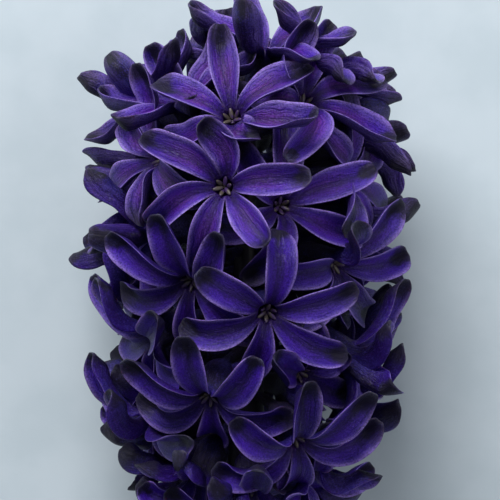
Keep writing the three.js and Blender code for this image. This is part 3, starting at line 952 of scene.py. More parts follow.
    def _share_out(self, mesh: bpy.types.Mesh, above: np.ndarray) -> None:
        """Gives each lobe its own points, told apart by the edges that join them.

        Args:
            mesh: The finished pattern's.
            above: Whether each point is above the rim.
        """
        links: list[list[int]] = [[] for _ in above]
        for edge in mesh.edges:
            a, b = edge.vertices
            if above[a] and above[b]:
                links[a].append(b)
                links[b].append(a)
        seen = ~above
        for start in range(len(above)):
            if seen[start]:
                continue
            group = [start]
            seen[start] = True
            for point in group:
                for other in links[point]:
                    if not seen[other]:
                        seen[other] = True
                        group.append(other)
            turns = np.radians(self.angle[group])
            centre = math.degrees(math.atan2(np.sin(turns).mean(), np.cos(turns).mean()))
            self.lobe[group] = round(centre / SIXTH) % LOBES
            self.across[group] = turn_between(self.angle[group], centre) / (SIXTH / 2.0)

    def _chart(self, mesh: bpy.types.Mesh) -> None:
        """Lays the petal map: across the lobe, and along it from the tube, which is below 0.

        Args:
            mesh: The finished pattern's.
        """
        chart = mesh.uv_layers.new(name="petal")
        v = np.where(self.lobe >= 0, self.along / LOBE.stations, self.along)
        for face in mesh.polygons:
            turn = math.degrees(math.atan2(face.center.y, face.center.x))
            centre = SIXTH * round(turn / SIXTH)
            for corner in face.loop_indices:
                point = mesh.loops[corner].vertex_index
                off = turn_between(self.angle[point], centre)
                chart.data[corner].uv = (0.5 + off / SIXTH, v[point])


Stretch = tuple[float, float]  # where something sets in along a lobe, and over how much


@dataclass(frozen=True)
class LobeRelief:
    """How the faces of a lobe rise and fall. Shares are of the lobe's length.

    Attributes:
        fills: Over which the lobe takes its full section.
        deepens: Over which its channel deepens before the tip.
        deeper: By how much, against its depth before.
        flattens: Over which the tip flattens out.
        flatter: By how much, against its depth before.
        groove: Depth of the groove along the middle.
        groove_ends: Over which the groove runs out.
        foot: Thickness at the foot, against that of the blade.
        tapers: Over which the tip gets thinner.
        thinner: By how much, against the blade.
        edge: How much of the thickness is gone at the margins: all of it at 1.
        ripples: Waves along the length.
        ripples_end: Over which they fade.
        dips: Over which the tip dips to the inner face.
        dip_curve: How late it does most of that.
        fold_narrows: How much narrower a lobe is for being folded twice as deeply.
    """

    fills: Stretch = (0.0, 0.2)
    deepens: Stretch = (0.6, 0.2)
    deeper: float = 0.45
    flattens: Stretch = (0.84, 0.15)
    flatter: float = 1.25
    groove: float = 0.18
    groove_ends: Stretch = (0.8, 0.15)
    foot: float = 0.88
    tapers: Stretch = (0.8, 0.2)
    thinner: float = 0.35
    edge: float = 0.84
    ripples: float = 1.3
    ripples_end: Stretch = (0.85, 0.15)
    dips: Stretch = (0.76, 0.24)
    dip_curve: float = 1.5
    fold_narrows: float = 0.12

    def height(self, habit: "LobeHabit", u: float, share: float, width: float, inner: float) -> float:
        """Height of a point over the flat of its lobe, towards the inner face.

        Args:
            habit: Of the lobe.
            u: From -1 at one margin to 1 at the other.
            share: Of the length.
            width: Of the lobe here.
            inner: 1 on the inner face and 0 on the outer one.

        Returns:
            The height in millimetres.
        """
        fill = over(share, self.fills)
        boat = 1.0 + self.deeper * over(share, self.deepens) - self.flatter * over(share, self.flattens)
        dish = LOBE.cup * habit.fold * boat * width * (u * u - LEVEL_AT)
        groove = -self.groove * (fill - over(share, self.groove_ends)) * (1.0 - u * u) ** 2
        blade = self.foot + (1.0 - self.foot) * fill - self.thinner * over(share, self.tapers)
        skin = LOBE.thickness * blade / 2.0 * math.sqrt(1.0 - self.edge * u * u)
        turns = 2.0 * math.pi * (self.ripples * share + habit.phase)
        wave = habit.wave * u * abs(u) * math.sin(turns) * (fill - over(share, self.ripples_end))
        hood = habit.hood * over(share, self.dips) ** self.dip_curve
        return dish + groove + wave + hood + (skin if inner > 0.5 else -skin)

    def width(self, habit: "LobeHabit", share: float) -> float:
        """Width of a lobe at a share of its length, less where it is folded deeply."""
        return LOBE.width_at(share) * (1.0 + self.fold_narrows - self.fold_narrows * habit.fold)


def over(share: float, stretch: Stretch) -> float:
    """A soft step from 0 to 1 over a stretch of a lobe."""
    return smooth((share - stretch[0]) / stretch[1])


@dataclass
class LobeHabit:
    """What sets one lobe apart from the next.

    Attributes:
        twist: Turn about its own length, at the tip, in degrees.
        wave: Height of the slow waves of its margins.
        phase: Where the waves start.
        fold: How deeply it is channelled, against the usual.
        hood: How far its tip dips to the inner face.
        tone: From 0, deep, to 1, pale.
        tip: Share of the length that the dark tip takes.
    """

    twist: float
    wave: float
    phase: float
    fold: float
    hood: float
    tone: float
    tip: float


@dataclass
class PosedFloret:
    """A copy of the mould, bent into one grown floret.

    Attributes:
        mould: The pattern.
        grown: Where the floret's neck and lobes go.
        habits: One for each lobe.
        glow: How much warm colour the floret shows, and how much painted highlight its veins take.
        tube_tone: Tone of the tube.
        tube_tip: What the tube has for the share of a dark tip.
        relief: Shape of its lobes' faces.
    """

    mould: FloretMould
    grown: GrownFloret
    habits: list[LobeHabit]
    glow: float
    tube_tone: float = 0.5
    tube_tip: float = 0.2
    relief: LobeRelief = LobeRelief()

    def points(self) -> np.ndarray:
        """Places every point.

        Returns:
            The points in the raceme's frame.
        """
        made = np.zeros((len(self.mould.lobe), 3))
        tube = self.mould.lobe < 0
        made[tube] = self._tube(tube)
        for k in range(LOBES):
            made[self.mould.lobe == k] = self._lobe(k, self.mould.lobe == k)
        return made

    def _tube(self, pick: np.ndarray) -> np.ndarray:
        """Places the points of the stalk and the tube.

        Args:
            pick: Whether each point is one of them.

        Returns:
            Their places in the raceme's frame.
        """
        facing = self.grown.facing
        neck = self.grown.neck
        spots = []
        for share, angle, radius in zip(
            1.0 + self.mould.along[pick], self.mould.angle[pick], self.mould.girth[pick]
        ):
            tangent = neck.tangent(share)
            up = unit(facing.up - tangent * float(facing.up @ tangent))
            side = cross(up, tangent)
            turn = math.radians(angle + self.grown.roll)
            middle = neck.at(share)
            if share < FIRST_RING:
                middle = middle - tangent * NECK.sunk
            flare = 1.0 + NECK.flutes * math.cos(LOBES / 2.0 * math.radians(angle))
            spots.append(middle + (side * math.cos(turn) + up * math.sin(turn)) * radius * flare)
        return np.array(spots)

    def _lobe(self, k: int, pick: np.ndarray) -> np.ndarray:
        """Places the points of one lobe.

        Args:
            k: Which lobe.
            pick: Whether each point of the mould is one of its.

        Returns:
            Their places in the raceme's frame.
        """
        stations = self.grown.lobes[k]
        habit = self.habits[k]
        line = np.array([s.middle for s in stations])
        along = np.array([s.along for s in stations])
        wide = np.array([s.wide for s in stations])
        face = np.array([s.face for s in stations])
        spots = []
        for u, v, inner in zip(self.mould.across[pick], self.mould.along[pick], self.mould.inner[pick]):
            share = v / LOBE.stations
            j = min(int(v), LOBE.stations - 1)
            t = v - j
            middle = bend_through(line, along, j, t)
            w = unit(wide[j] * (1.0 - t) + wide[j + 1] * t)
            f = unit(face[j] * (1.0 - t) + face[j + 1] * t)
            twist = math.radians(habit.twist) * smooth(share)
            w, f = w * math.cos(twist) + f * math.sin(twist), f * math.cos(twist) - w * math.sin(twist)
            width = self.relief.width(habit, share)
            height = self.relief.height(habit, u, share, width, inner)
            spots.append(middle + w * (u * width / 2.0) + f * height)
        return np.array(spots)

    def marks(self) -> np.ndarray:
        """What the lobe's finish reads from every point.

        Returns:
            A row for each point: its inner side, tone, glow and dark tip.
        """
        lobe = self.mould.lobe
        tone = np.array([h.tone for h in self.habits] + [self.tube_tone])
        tip = np.array([h.tip for h in self.habits] + [self.tube_tip])
        glow = np.full(len(lobe), self.glow)
        return np.column_stack([self.mould.inner, tone[lobe], glow, tip[lobe]])


def bend_through(line: np.ndarray, along: np.ndarray, j: int, t: float) -> np.ndarray:
    """A point on the smooth curve through a lobe's stations.

    Args:
        line: The stations.
        along: Directions there.
        j: The station before the point.
        t: From 0 there to 1 at the next.

    Returns:
        The point.
    """
    a, b = line[j], line[j + 1]
    span = math.sqrt(float((b - a) @ (b - a)))
    start = (1.0 + 2.0 * t) * (1.0 - t) ** 2 * a + t * (1.0 - t) ** 2 * span * along[j]
    return start + t * t * (3.0 - 2.0 * t) * b + t * t * (t - 1.0) * span * along[j + 1]


# ------------------------------------------------------------------ finishes
Socket = bpy.types.NodeSocket


@dataclass(frozen=True)
class Shade:
    """A colour as seen, each part from 0 to 255."""

    red: float
    green: float
    blue: float

    def linear(self) -> tuple[float, float, float, float]:
        """The colour as light, for a shader."""
        parts = [c / 255.0 for c in (self.red, self.green, self.blue)]
        light = [p / 12.92 if p <= 0.04045 else ((p + 0.055) / 1.055) ** 2.4 for p in parts]
        return (*light, 1.0)


@dataclass(frozen=True)
class Touch:
    """Where a marking lies, as a soft step on a value.

    Attributes:
        low: Value at which the step starts.
        high: Value at which it ends.
        cover: How strongly the marking covers.
        broken: How much of another pattern is added to the value to break it up.
    """

    low: float
    high: float
    cover: float = 1.0
    broken: float = 0.0


class Sheet:
    """A node tree being written."""

    def __init__(self, name: str) -> None:
        """Starts an empty material.

        Args:
            name: Of the material.
        """
        self.material = bpy.data.materials.new(name)
        self.material.use_nodes = True
        self.tree = self.material.node_tree
        self.tree.nodes.clear()

    def node(self, kind: str, **settings: object) -> bpy.types.Node:
        """Adds a node.

        Args:
            kind: Of the node.
            settings: Of the node, by name.

        Returns:
            The node.
        """
        made = self.tree.nodes.new(kind)
        for key, value in settings.items():
            setattr(made, key, value)
        return made

    def feed(self, socket: Socket, value: object) -> None:
        """Sets a socket to a value or links it to another.

        Args:
            socket: The one that is fed.
            value: What it gets.
        """
        if isinstance(value, Socket):
            self.tree.links.new(value, socket)
        else:
            socket.default_value = value

    def sum(self, operation: str, a: object, b: object, c: object = 0.0) -> Socket:
        """One step of arithmetic on two or three values.

        Args:
            operation: The step, as the node names it.
            a: The first value or socket.
            b: The second.
            c: The third, where the step takes one.

        Returns:
            The result's socket.
        """
        made = self.node("ShaderNodeMath", operation=operation)
        for socket, value in zip(made.inputs, (a, b, c)):
            self.feed(socket, value)
        return made.outputs[0]

    def add(self, a: object, b: object) -> Socket:
        """The sum of two values."""
        return self.sum("ADD", a, b)

    def times(self, a: object, b: object) -> Socket:
        """The product of two values."""
        return self.sum("MULTIPLY", a, b)

    def rest(self, a: object) -> Socket:
        """What a value leaves of 1."""
        return self.sum("SUBTRACT", 1.0, a)

    def line(self, a: object, slope: float, start: object) -> Socket:
        """A value times a slope, plus a start."""
        return self.sum("MULTIPLY_ADD", a, slope, start)

    def step(self, value: object, touch: Touch, pattern: Optional[Socket]) -> Socket:
        """A marking's soft step from 0 to 1.

        Args:
            value: The value or socket on which it lies.
            touch: The marking.
            pattern: What breaks it up.

        Returns:
            The step's socket.
        """
        if pattern is not None:
            value = self.line(pattern, touch.broken, value)
        made = self.node("ShaderNodeMapRange", interpolation_type="SMOOTHSTEP")
        for socket, number in zip(made.inputs, (value, touch.low, touch.high, 0.0, 1.0)):
            self.feed(socket, number)
        return made.outputs[0]

    def mask(self, value: object, touch: Touch, pattern: Optional[Socket] = None) -> Socket:
        """How strongly a marking covers where the value is high."""
        return self.times(self.step(value, touch, pattern), touch.cover)

    def fade(self, value: object, touch: Touch, pattern: Optional[Socket] = None) -> Socket:
        """How strongly a marking covers where the value is low."""
        return self.times(self.rest(self.step(value, touch, pattern)), touch.cover)

    def blend(self, share: object, a: object, b: object) -> Socket:
        """A colour between two colours.

        Args:
            share: Of the second colour.
            a: The first colour, as a shade or a socket.
            b: The second.

        Returns:
            The colour's socket.
        """
        made = self.node("ShaderNodeMix", data_type="RGBA")
        self.feed(made.inputs[0], share)
        self.feed(made.inputs[6], a.linear() if isinstance(a, Shade) else a)
        self.feed(made.inputs[7], b.linear() if isinstance(b, Shade) else b)
        return made.outputs[2]

    def noise(self, place: object, scale: float, detail: float = 3.0, rough: float = 0.5) -> Socket:
        """A cloudy value about 0.5.

        Args:
            place: Socket of the place.
            scale: Patches in a unit of length.
            detail: How many finer layers it has.
            rough: How strong they are.

        Returns:
            The value's socket.
        """
        made = self.node("ShaderNodeTexNoise")
        self.feed(made.inputs["Vector"], place)
        made.inputs["Scale"].default_value = scale
        made.inputs["Detail"].default_value = detail
        made.inputs["Roughness"].default_value = rough
        return made.outputs[0]

    def own_place(self) -> Socket:
        """The place on the piece, in metres."""
        return self.node("ShaderNodeTexCoord").outputs["Object"]

    def chart(self, name: str) -> Socket:
        """A map laid on the piece, by its name."""
        return self.node("ShaderNodeUVMap", uv_map=name).outputs[0]

    def split(self, vector: Socket) -> Sequence[Socket]:
        """The three values of a vector."""
        made = self.node("ShaderNodeSeparateXYZ")
        self.tree.links.new(vector, made.inputs[0])
        return made.outputs

    def vector(self, x: object, y: object, z: object) -> Socket:
        """Puts three values together.

        Args:
            x: The first.
            y: The second.
            z: The third.

        Returns:
            The vector's socket.
        """
        made = self.node("ShaderNodeCombineXYZ")
        for socket, value in zip(made.inputs, (x, y, z)):
            self.feed(socket, value)
        return made.outputs[0]

    def skin(self, colour: object, roughness: object, bump: object, depth: float, **more: object) -> None:
        """Ends the tree in a surface.

        Args:
            colour: Of the surface.
            roughness: Of the surface.
            bump: Height of the relief, from 0 to 1.
            depth: Height of the relief in millimetres.
            more: Further sockets of the surface, by name.
        """
        relief = self.node("ShaderNodeBump")
        relief.inputs["Strength"].default_value = 1.0
        relief.inputs["Distance"].default_value = depth * MM
        self.feed(relief.inputs["Height"], bump)
        surface = self.node("ShaderNodeBsdfPrincipled")
        self.feed(surface.inputs["Base Color"], colour)
        self.feed(surface.inputs["Roughness"], roughness)
        self.feed(surface.inputs["Normal"], relief.outputs[0])
        for key, value in more.items():
            surface.inputs[key.replace("_", " ")].default_value = value
        out = self.node("ShaderNodeOutputMaterial")
        self.tree.links.new(surface.outputs[0], out.inputs[0])


@dataclass
class LobeChart:
    """The sockets from which the finish of a floret is worked out.

    Attributes:
        off: From 0 on a lobe's midrib to 1 at its margins.
        v: From 0 at a lobe's foot to 1 at its tip, and below 0 on the tube.
        inner: 1 on the inner side and 0 on the outer one.
        glow: How much warm colour shows, and how much painted highlight the veins take.
        tip: Share of a lobe's length that its dark tip takes.
        tones: Patches of the two main colours.
        cloud: Broad patches.
        patchy: Smaller patches.
        grain: Fine grain.
        veins: Lengthwise veins.
        streak: The same with more contrast, and half as strong.
        lit: How pale the margins and their painted highlight are, in patches.
    """

    off: Socket
    v: Socket
    inner: Socket
    glow: Socket
    tip: Socket
    tones: Socket
    cloud: Socket
    patchy: Socket
    grain: Socket
    veins: Socket
    streak: Socket
    lit: Socket


@dataclass(frozen=True)
class LobeFinish:
    """Fleshy violet lobes with pale margins, dark tips, fine lengthwise veins, painted highlights and painted
    shade.

    Attributes:
        deep: Of the darker patches of the inner side.
        pale: Of its paler patches and veins.
        margin: Of the pale margins, partly their own colour and partly painted highlight, and of the painted
            highlight on the veins of the upper florets.
        glint: Of the painted glints on the fine grain.
        warm: Of the warm patch that the young florets show.
        rib: Of the midrib, of the painted shade along the channel and of the grain's dark specks.
        foot: Of the painted shade on the lobes' feet, down in the throat.
        back: Of the outer side.
        back_rib: Of its keel.
        bloom: Of the waxy bloom on it.
        tip: Of the tips.
        tip_bloom: Of the bloom on them.
        knob: Of their very ends.
        tube: Of the tube.
        stalk: Of the floret's stalk.
        hollow: Of the inside of the tube.
        cloud_scale: Broad patches in a metre.
        patch_scale: Smaller patches in a metre.
        grain_scale: Grains in a metre.
        vein_count: Veins across a lobe.
        vein_breaks: How often they change along it.
        sway: How far they wander aside.
        least_lit: Paleness of the dullest margins and their painted highlight, where the palest have more by
            the cover of `lighting`.
        hem_cover: How strongly the painted highlight along the hem takes the margins' colour, against their
            paleness.
        hem_least: How strongly it takes it at the least.
        least_warm: Strength of the warm patch between the veins.
        back_edge: How strongly the pale margins and their painted highlight show on the outer side.
        frost_cover: How strongly the bloom covers the outer side.
        tube_frost: How strongly it covers the tube.
        tip_patches: How far the dark of the tips reaches down in patches.
        tip_middle: How much further down it reaches on the midrib.
        tip_cover: How strongly it covers.
        glint_cover: How strongly the painted glints cover.
        glint_lost: How much of that they lose on the dark tips.
        vein_height: Share of the relief that is veins and not grain.
        rough: Roughness where it is smoothest.
        rough_patches: How much rougher it is in patches.
        rough_tips: How much rougher the tips are.
    """

    deep: Shade = Shade(23, 0, 100)
    pale: Shade = Shade(62, 20, 166)
    margin: Shade = Shade(164, 138, 228)
    glint: Shade = Shade(122, 92, 216)
    warm: Shade = Shade(104, 34, 144)
    rib: Shade = Shade(18, 4, 48)
    foot: Shade = Shade(28, 4, 60)
    back: Shade = Shade(33, 10, 88)
    back_rib: Shade = Shade(12, 4, 34)
    bloom: Shade = Shade(44, 42, 126)
    tip: Shade = Shade(10, 6, 26)
    tip_bloom: Shade = Shade(42, 40, 80)
    knob: Shade = Shade(104, 104, 128)
    tube: Shade = Shade(24, 17, 56)
    stalk: Shade = Shade(22, 18, 34)
    hollow: Shade = Shade(62, 34, 110)

    cloud_scale: float = 130.0
    patch_scale: float = 330.0
    grain_scale: float = 2800.0
    vein_count: float = 30.0
    vein_breaks: float = 2.2
    sway: float = 0.2
    relief: float = 0.5
    least_lit: float = 0.3
    hem_cover: float = 0.35
    hem_least: float = 0.1
    least_warm: float = 0.3
    back_edge: float = 0.7
    frost_cover: float = 0.55
    tube_frost: float = 0.5
    tip_patches: float = 0.36
    tip_middle: float = 0.12
    tip_cover: float = 0.94
    glint_cover: float = 0.22
    glint_lost: float = 0.16
    vein_height: float = 0.75
    rough: float = 0.3
    rough_patches: float = 0.2
    rough_tips: float = 0.1

    toning: Touch = Touch(0.45, 1.05, broken=0.5)
    veining: Touch = Touch(0.4, 0.6, 0.5)
    lighting: Touch = Touch(0.3, 0.7, 0.6)
    margins: Touch = Touch(0.7, 1.2, broken=0.12)
    hem_highlight: Touch = Touch(0.84, 0.94)
    warm_from: Touch = Touch(0.02, 0.3)
    warm_to: Touch = Touch(0.4, 0.85)
    warm_beside: Touch = Touch(0.3, 0.9)
    midrib: Touch = Touch(0.2, 0.7, 0.62, broken=0.4)
    feet: Touch = Touch(0.0, 0.2, 0.75)
    keel: Touch = Touch(0.25, 0.8, 0.85, broken=0.3)
    frost: Touch = Touch(0.72, 0.95, broken=0.5)
    turning: Touch = Touch(0.3, 0.7)
    tip_dark: Touch = Touch(0.0, 0.8)
    tip_frost: Touch = Touch(0.8, 1.04, broken=0.5)
    tip_end: Touch = Touch(0.93, 1.0, 0.4)
    tip_spots: Touch = Touch(0.4, 0.62)
    swelling: Touch = Touch(-0.62, -0.36)
    tube_ribs: Touch = Touch(0.1, 0.5, 0.6)
    mouth: Touch = Touch(-0.06, 0.04)
    top_light_veins: Touch = Touch(0.6, 1.0, 0.3, broken=0.35)
    top_light_from: Touch = Touch(0.1, 0.3)
    painted_glints: Touch = Touch(0.5, 0.76)
    dark_grain: Touch = Touch(0.3, 0.55, 0.6)

    def dress(self) -> bpy.types.Material:
        """Writes the material.

        Returns:
            The material, which reads the petal map and the marks of every point.
        """
        s = Sheet("floret_skin")
        chart = self._chart(s)
        # The margins are paler of their own and also take a painted highlight, in patches.
        edge = s.times(s.mask(chart.off, self.margins, chart.grain), chart.lit)
        frost = s.mask(chart.cloud, self.frost, chart.grain)
        back = self._back(s, chart, edge, frost)
        lobe = s.blend(s.mask(chart.inner, self.turning), back, self._face(s, chart, edge))
        dark = self._darkness(s, chart)
        lobe = self._tip(s, chart, lobe, dark)
        colour = s.blend(s.mask(chart.v, self.mouth), self._tube(s, chart, frost), lobe)
        # Painted highlight: the veins of the upper florets are paler, as if lit more from above.
        upper = s.times(s.mask(chart.veins, self.top_light_veins, chart.off), chart.glow)
        colour = s.blend(s.times(upper, s.mask(chart.v, self.top_light_from)), colour, self.margin)
        # Painted glints on the fine grain, fewer on the dark tips.
        glint = s.line(dark, -self.glint_lost, self.glint_cover)
        colour = s.blend(s.times(s.mask(chart.grain, self.painted_glints), glint), colour, self.glint)
        colour = s.blend(s.fade(chart.grain, self.dark_grain), colour, self.rib)
        height = s.line(chart.veins, self.vein_height, s.times(chart.grain, 1.0 - self.vein_height))
        rough = s.line(chart.cloud, self.rough_patches, s.line(dark, self.rough_tips, self.rough))
        s.skin(
            colour, rough, height, self.relief,
            Subsurface_Weight=0.05, Subsurface_Scale=0.001, Specular_IOR_Level=0.34,
        )
        return s.material

    def _chart(self, s: Sheet) -> LobeChart:
        """Reads the map and the marks, and lays the patches, grain and veins.

        Args:
            s: The sheet being written.

        Returns:
            All of them.
        """
        u, v, _ = s.split(s.chart("petal"))
        marks = s.node("ShaderNodeAttribute", attribute_name="grown")
        parts = s.node("ShaderNodeSeparateColor")
        s.tree.links.new(marks.outputs["Color"], parts.inputs[0])
        inner, tone, glow = parts.outputs
        place = s.own_place()
        cloud = s.noise(place, self.cloud_scale)
        warp = s.line(s.noise(s.vector(u, v, tone), 5.0, 2.0), self.sway, u)
        run = s.vector(s.times(warp, self.vein_count), s.times(v, self.vein_breaks), tone)
        veins = s.noise(run, 1.0, 4.0, 0.62)
        return LobeChart(
            off=s.sum("ABSOLUTE", s.line(u, 2.0, -1.0), 0.0),
            v=v,
            inner=inner,
            glow=glow,
            tip=marks.outputs["Alpha"],
            tones=s.mask(cloud, self.toning, tone),
            cloud=cloud,
            patchy=s.noise(place, self.patch_scale, 3.0, 0.6),
            grain=s.noise(place, self.grain_scale, 2.0, 0.7),
            veins=veins,
            streak=s.mask(veins, self.veining),
            lit=s.add(s.mask(cloud, self.lighting), self.least_lit),
        )

    def _face(self, s: Sheet, chart: LobeChart, edge: Socket) -> Socket:
        """The inner side of the lobes.

        Args:
            s: The sheet being written.
            chart: What the colour is worked out from.
            edge: How much of the margins' colour shows, their painted highlight included.

        Returns:
            The colour.
        """
        body = s.blend(chart.tones, self.deep, self.pale)
        body = s.blend(chart.streak, body, self.pale)
        reach = s.times(s.mask(chart.v, self.warm_from), s.fade(chart.v, self.warm_to))
        warmth = s.times(s.times(reach, chart.glow), s.fade(chart.off, self.warm_beside))
        body = s.blend(s.times(warmth, s.add(chart.streak, self.least_warm)), body, self.warm)
        # A darker midrib, widened into painted shade down the cupped channel.
        body = s.blend(s.fade(chart.off, self.midrib, chart.veins), body, self.rib)
        # The pale margins with their painted highlight, and a thin painted highlight along the hem.
        body = s.blend(edge, body, self.margin)
        hem_highlight = s.times(s.mask(chart.off, self.hem_highlight), s.line(chart.lit, self.hem_cover, self.hem_least))
        body = s.blend(hem_highlight, body, self.margin)
        # Painted shade on the lobes' feet, down in the throat.
        return s.blend(s.fade(chart.v, self.feet), body, self.foot)

    def _back(self, s: Sheet, chart: LobeChart, edge: Socket, frost: Socket) -> Socket:
        """The outer side of the lobes.

        Args:
            s: The sheet being written.
            chart: What the colour is worked out from.
            edge: How much of the margins' colour shows, their painted highlight included.
            frost: Where bloom lies.

        Returns:
            The colour.
        """
        back = s.blend(chart.streak, self.back, self.deep)
        back = s.blend(s.fade(chart.off, self.keel, chart.veins), back, self.back_rib)
        # The pale margins of the outer side, with their painted highlight.
        back = s.blend(s.times(edge, self.back_edge), back, self.pale)
        return s.blend(s.times(frost, self.frost_cover), back, self.bloom)

    def _darkness(self, s: Sheet, chart: LobeChart) -> Socket:
        """How dark the tips are: patchy where they start, and further down the midrib.

        Args:
            s: The sheet being written.
            chart: What it is worked out from.

        Returns:
            From 0, not at all, to 1.
        """
        middle = s.times(s.rest(chart.off), self.tip_middle)
        spread = s.add(s.line(chart.patchy, self.tip_patches, -self.tip_patches / 2.0), middle)
        far = s.sum("SUBTRACT", s.add(chart.v, spread), s.rest(chart.tip))
        return s.mask(s.sum("DIVIDE", far, chart.tip), self.tip_dark)

    def _tip(self, s: Sheet, chart: LobeChart, lobe: Socket, dark: Socket) -> Socket:
        """Darkens the tips and gives them their knobs.

        Args:
            s: The sheet being written.
            chart: What the colour is worked out from.
            lobe: Colour of the lobes without their tips.
            dark: How dark the tips are.

        Returns:
            The colour of the whole lobes.
        """
        bloomy = s.mask(chart.patchy, self.tip_frost, chart.grain)
        lobe = s.blend(s.times(dark, self.tip_cover), lobe, s.blend(bloomy, self.tip, self.tip_bloom))
        knob = s.times(s.mask(chart.v, self.tip_end), s.mask(chart.patchy, self.tip_spots))
        return s.blend(knob, lobe, self.knob)

    def _tube(self, s: Sheet, chart: LobeChart, frost: Socket) -> Socket:
        """The floret's stalk and tube.

        Args:
            s: The sheet being written.
            chart: What the colour is worked out from.
            frost: Where bloom lies.

        Returns:
            The colour.
        """
        tube = s.blend(s.mask(chart.v, self.swelling), self.stalk, self.tube)
        tube = s.blend(s.fade(chart.off, self.tube_ribs), tube, self.back_rib)
        tube = s.blend(s.times(frost, self.tube_frost), tube, self.bloom)
        return s.blend(s.mask(chart.inner, self.turning), tube, self.hollow)


@dataclass(frozen=True)
class StalkFinish:
    """A smooth fleshy stalk, purple-brown among the florets and green below, cut pale.

    Attributes:
        green: Of the bare stalk.
        pale: Of its fine lengthwise lines.
        purple: Of the stalk among the florets.
        pith: Of the cut face.
        wet: Of the dots in it.
        stretch: How much the lines are drawn out along the stalk.
    """

    green: Shade = Shade(84, 104, 56)
    pale: Shade = Shade(128, 142, 84)
    purple: Shade = Shade(26, 20, 36)
    pith: Shade = Shade(196, 204, 158)
    wet: Shade = Shade(142, 158, 104)
    stretch: tuple[float, float, float] = (1.0, 0.06, 1.0)
    lining: Touch = Touch(0.25, 0.85)
    purpling: Touch = Touch(-0.025, 0.02, broken=0.03)
    dotting: Touch = Touch(0.4, 0.62)
    cutting: Touch = Touch(0.4, 0.6)

    def dress(self) -> bpy.types.Material:
        """Writes the material.

        Returns:
            The material, which reads the pith mark of every point.
        """
        s = Sheet("stalk_skin")
        place = s.own_place()
        drawn_out = s.node("ShaderNodeMapping")
        drawn_out.inputs["Scale"].default_value = self.stretch
        s.tree.links.new(place, drawn_out.inputs["Vector"])
        cloud = s.noise(place, 90.0, 4.0)
        lines = s.noise(drawn_out.outputs[0], 1400.0, 3.0, 0.6)
        body = s.blend(s.mask(lines, self.lining), self.green, self.pale)
        body = s.blend(s.mask(s.split(place)[1], self.purpling, cloud), body, self.purple)
        cut = s.node("ShaderNodeAttribute", attribute_name="pith").outputs["Fac"]
        heart = s.blend(s.mask(s.noise(place, 1500.0, 2.0), self.dotting), self.pith, self.wet)
        colour = s.blend(s.mask(cut, self.cutting), body, heart)
        s.skin(
            colour, s.line(cloud, 0.2, 0.3), lines, 0.05,
            Subsurface_Weight=0.08, Subsurface_Scale=0.0015, Specular_IOR_Level=0.45,
        )
        return s.material


@dataclass(frozen=True)
class PollenFinish:
    """Dry anthers dusted with pollen.

    Attributes:
        sac: Of an anther.
        dust: Of the pollen on it.
        seam: Of the seam along it.
        grain_scale: Grains of pollen in a metre.
    """

    sac: Shade = Shade(188, 160, 84)
    dust: Shade = Shade(252, 234, 168)
    seam: Shade = Shade(46, 30, 44)
    grain_scale: float = 5200.0
    dusting: Touch = Touch(0.4, 0.62)
    seaming: Touch = Touch(0.04, 0.12, 0.7)

    def dress(self) -> bpy.types.Material:
        """Writes the material.

        Returns:
            The material, which reads the map that the anthers come with.
        """
        s = Sheet("pollen")
        place = s.own_place()
        round_it = s.split(s.chart("UVMap"))[0]
        grains = s.noise(place, self.grain_scale)
        from_seam = s.sum("ABSOLUTE", s.sum("SUBTRACT", round_it, 0.5), 0.0)
        body = s.blend(s.mask(grains, self.dusting), self.sac, self.dust)
        s.skin(s.blend(s.fade(from_seam, self.seaming), body, self.seam), 0.85, grains, 0.08)
        return s.material


@dataclass(frozen=True)
class PistilFinish:
    """The smooth pale ovary and style.

    Attributes:
        green: Of the one half of its patches.
        violet: Of the other.
    """

    green: Shade = Shade(74, 66, 62)
    violet: Shade = Shade(62, 40, 92)
    patches: Touch = Touch(0.4, 0.6)

    def dress(self) -> bpy.types.Material:
        """Writes the material.

        Returns:
            The material.
        """
        s = Sheet("pistil")
        cloud = s.noise(s.own_place(), 700.0, 2.0)
        s.skin(s.blend(s.mask(cloud, self.patches), self.green, self.violet), 0.4, cloud, 0.05)
        return s.material


@dataclass(frozen=True)
class PaperFinish:
    """A plain pale sheet under the flower.

    Attributes:
        face: Of the sheet.
        darker: Of its faint patches.
    """

    face: Shade = Shade(196, 209, 219)
    darker: Shade = Shade(189, 203, 213)
    patches: Touch = Touch(0.35, 0.65)

    def dress(self) -> bpy.types.Material:
        """Writes the material.

        Returns:
            The material.
        """
        s = Sheet("paper")
        mottle = s.noise(s.own_place(), 60.0, 4.0)
        s.skin(s.blend(s.mask(mottle, self.patches), self.darker, self.face), 0.8, mottle, 0.05)
        return s.material


# ------------------------------------------------------------------ the flower
def finish_piece(piece: bpy.types.Object, name: str, skins: Sequence[bpy.types.Material]) -> None:
    """Smooths, dresses and declares a finished piece.

    Args:
        piece: The piece, with its place in its mesh.
        name: For the piece.
        skins: Its materials, in the order of its faces' indices.
    """
    piece.name = name
    piece.data.name = name
    piece.data.materials.clear()
    for skin in skins:
        piece.data.materials.append(skin)
    piece.data.shade_smooth()
    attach(piece, "root")
    log.info("%s: %d faces", name, len(piece.data.polygons))


def subdivide(piece: bpy.types.Object) -> None:
    """Rounds a piece by one step of subdivision, and applies it.

    Args:
        piece: The piece.
    """
    take(piece)
    modifier = piece.modifiers.new("round", "SUBSURF")
    modifier.levels = 1
    modifier.render_levels = 1
    bpy.ops.object.modifier_apply(modifier=modifier.name)


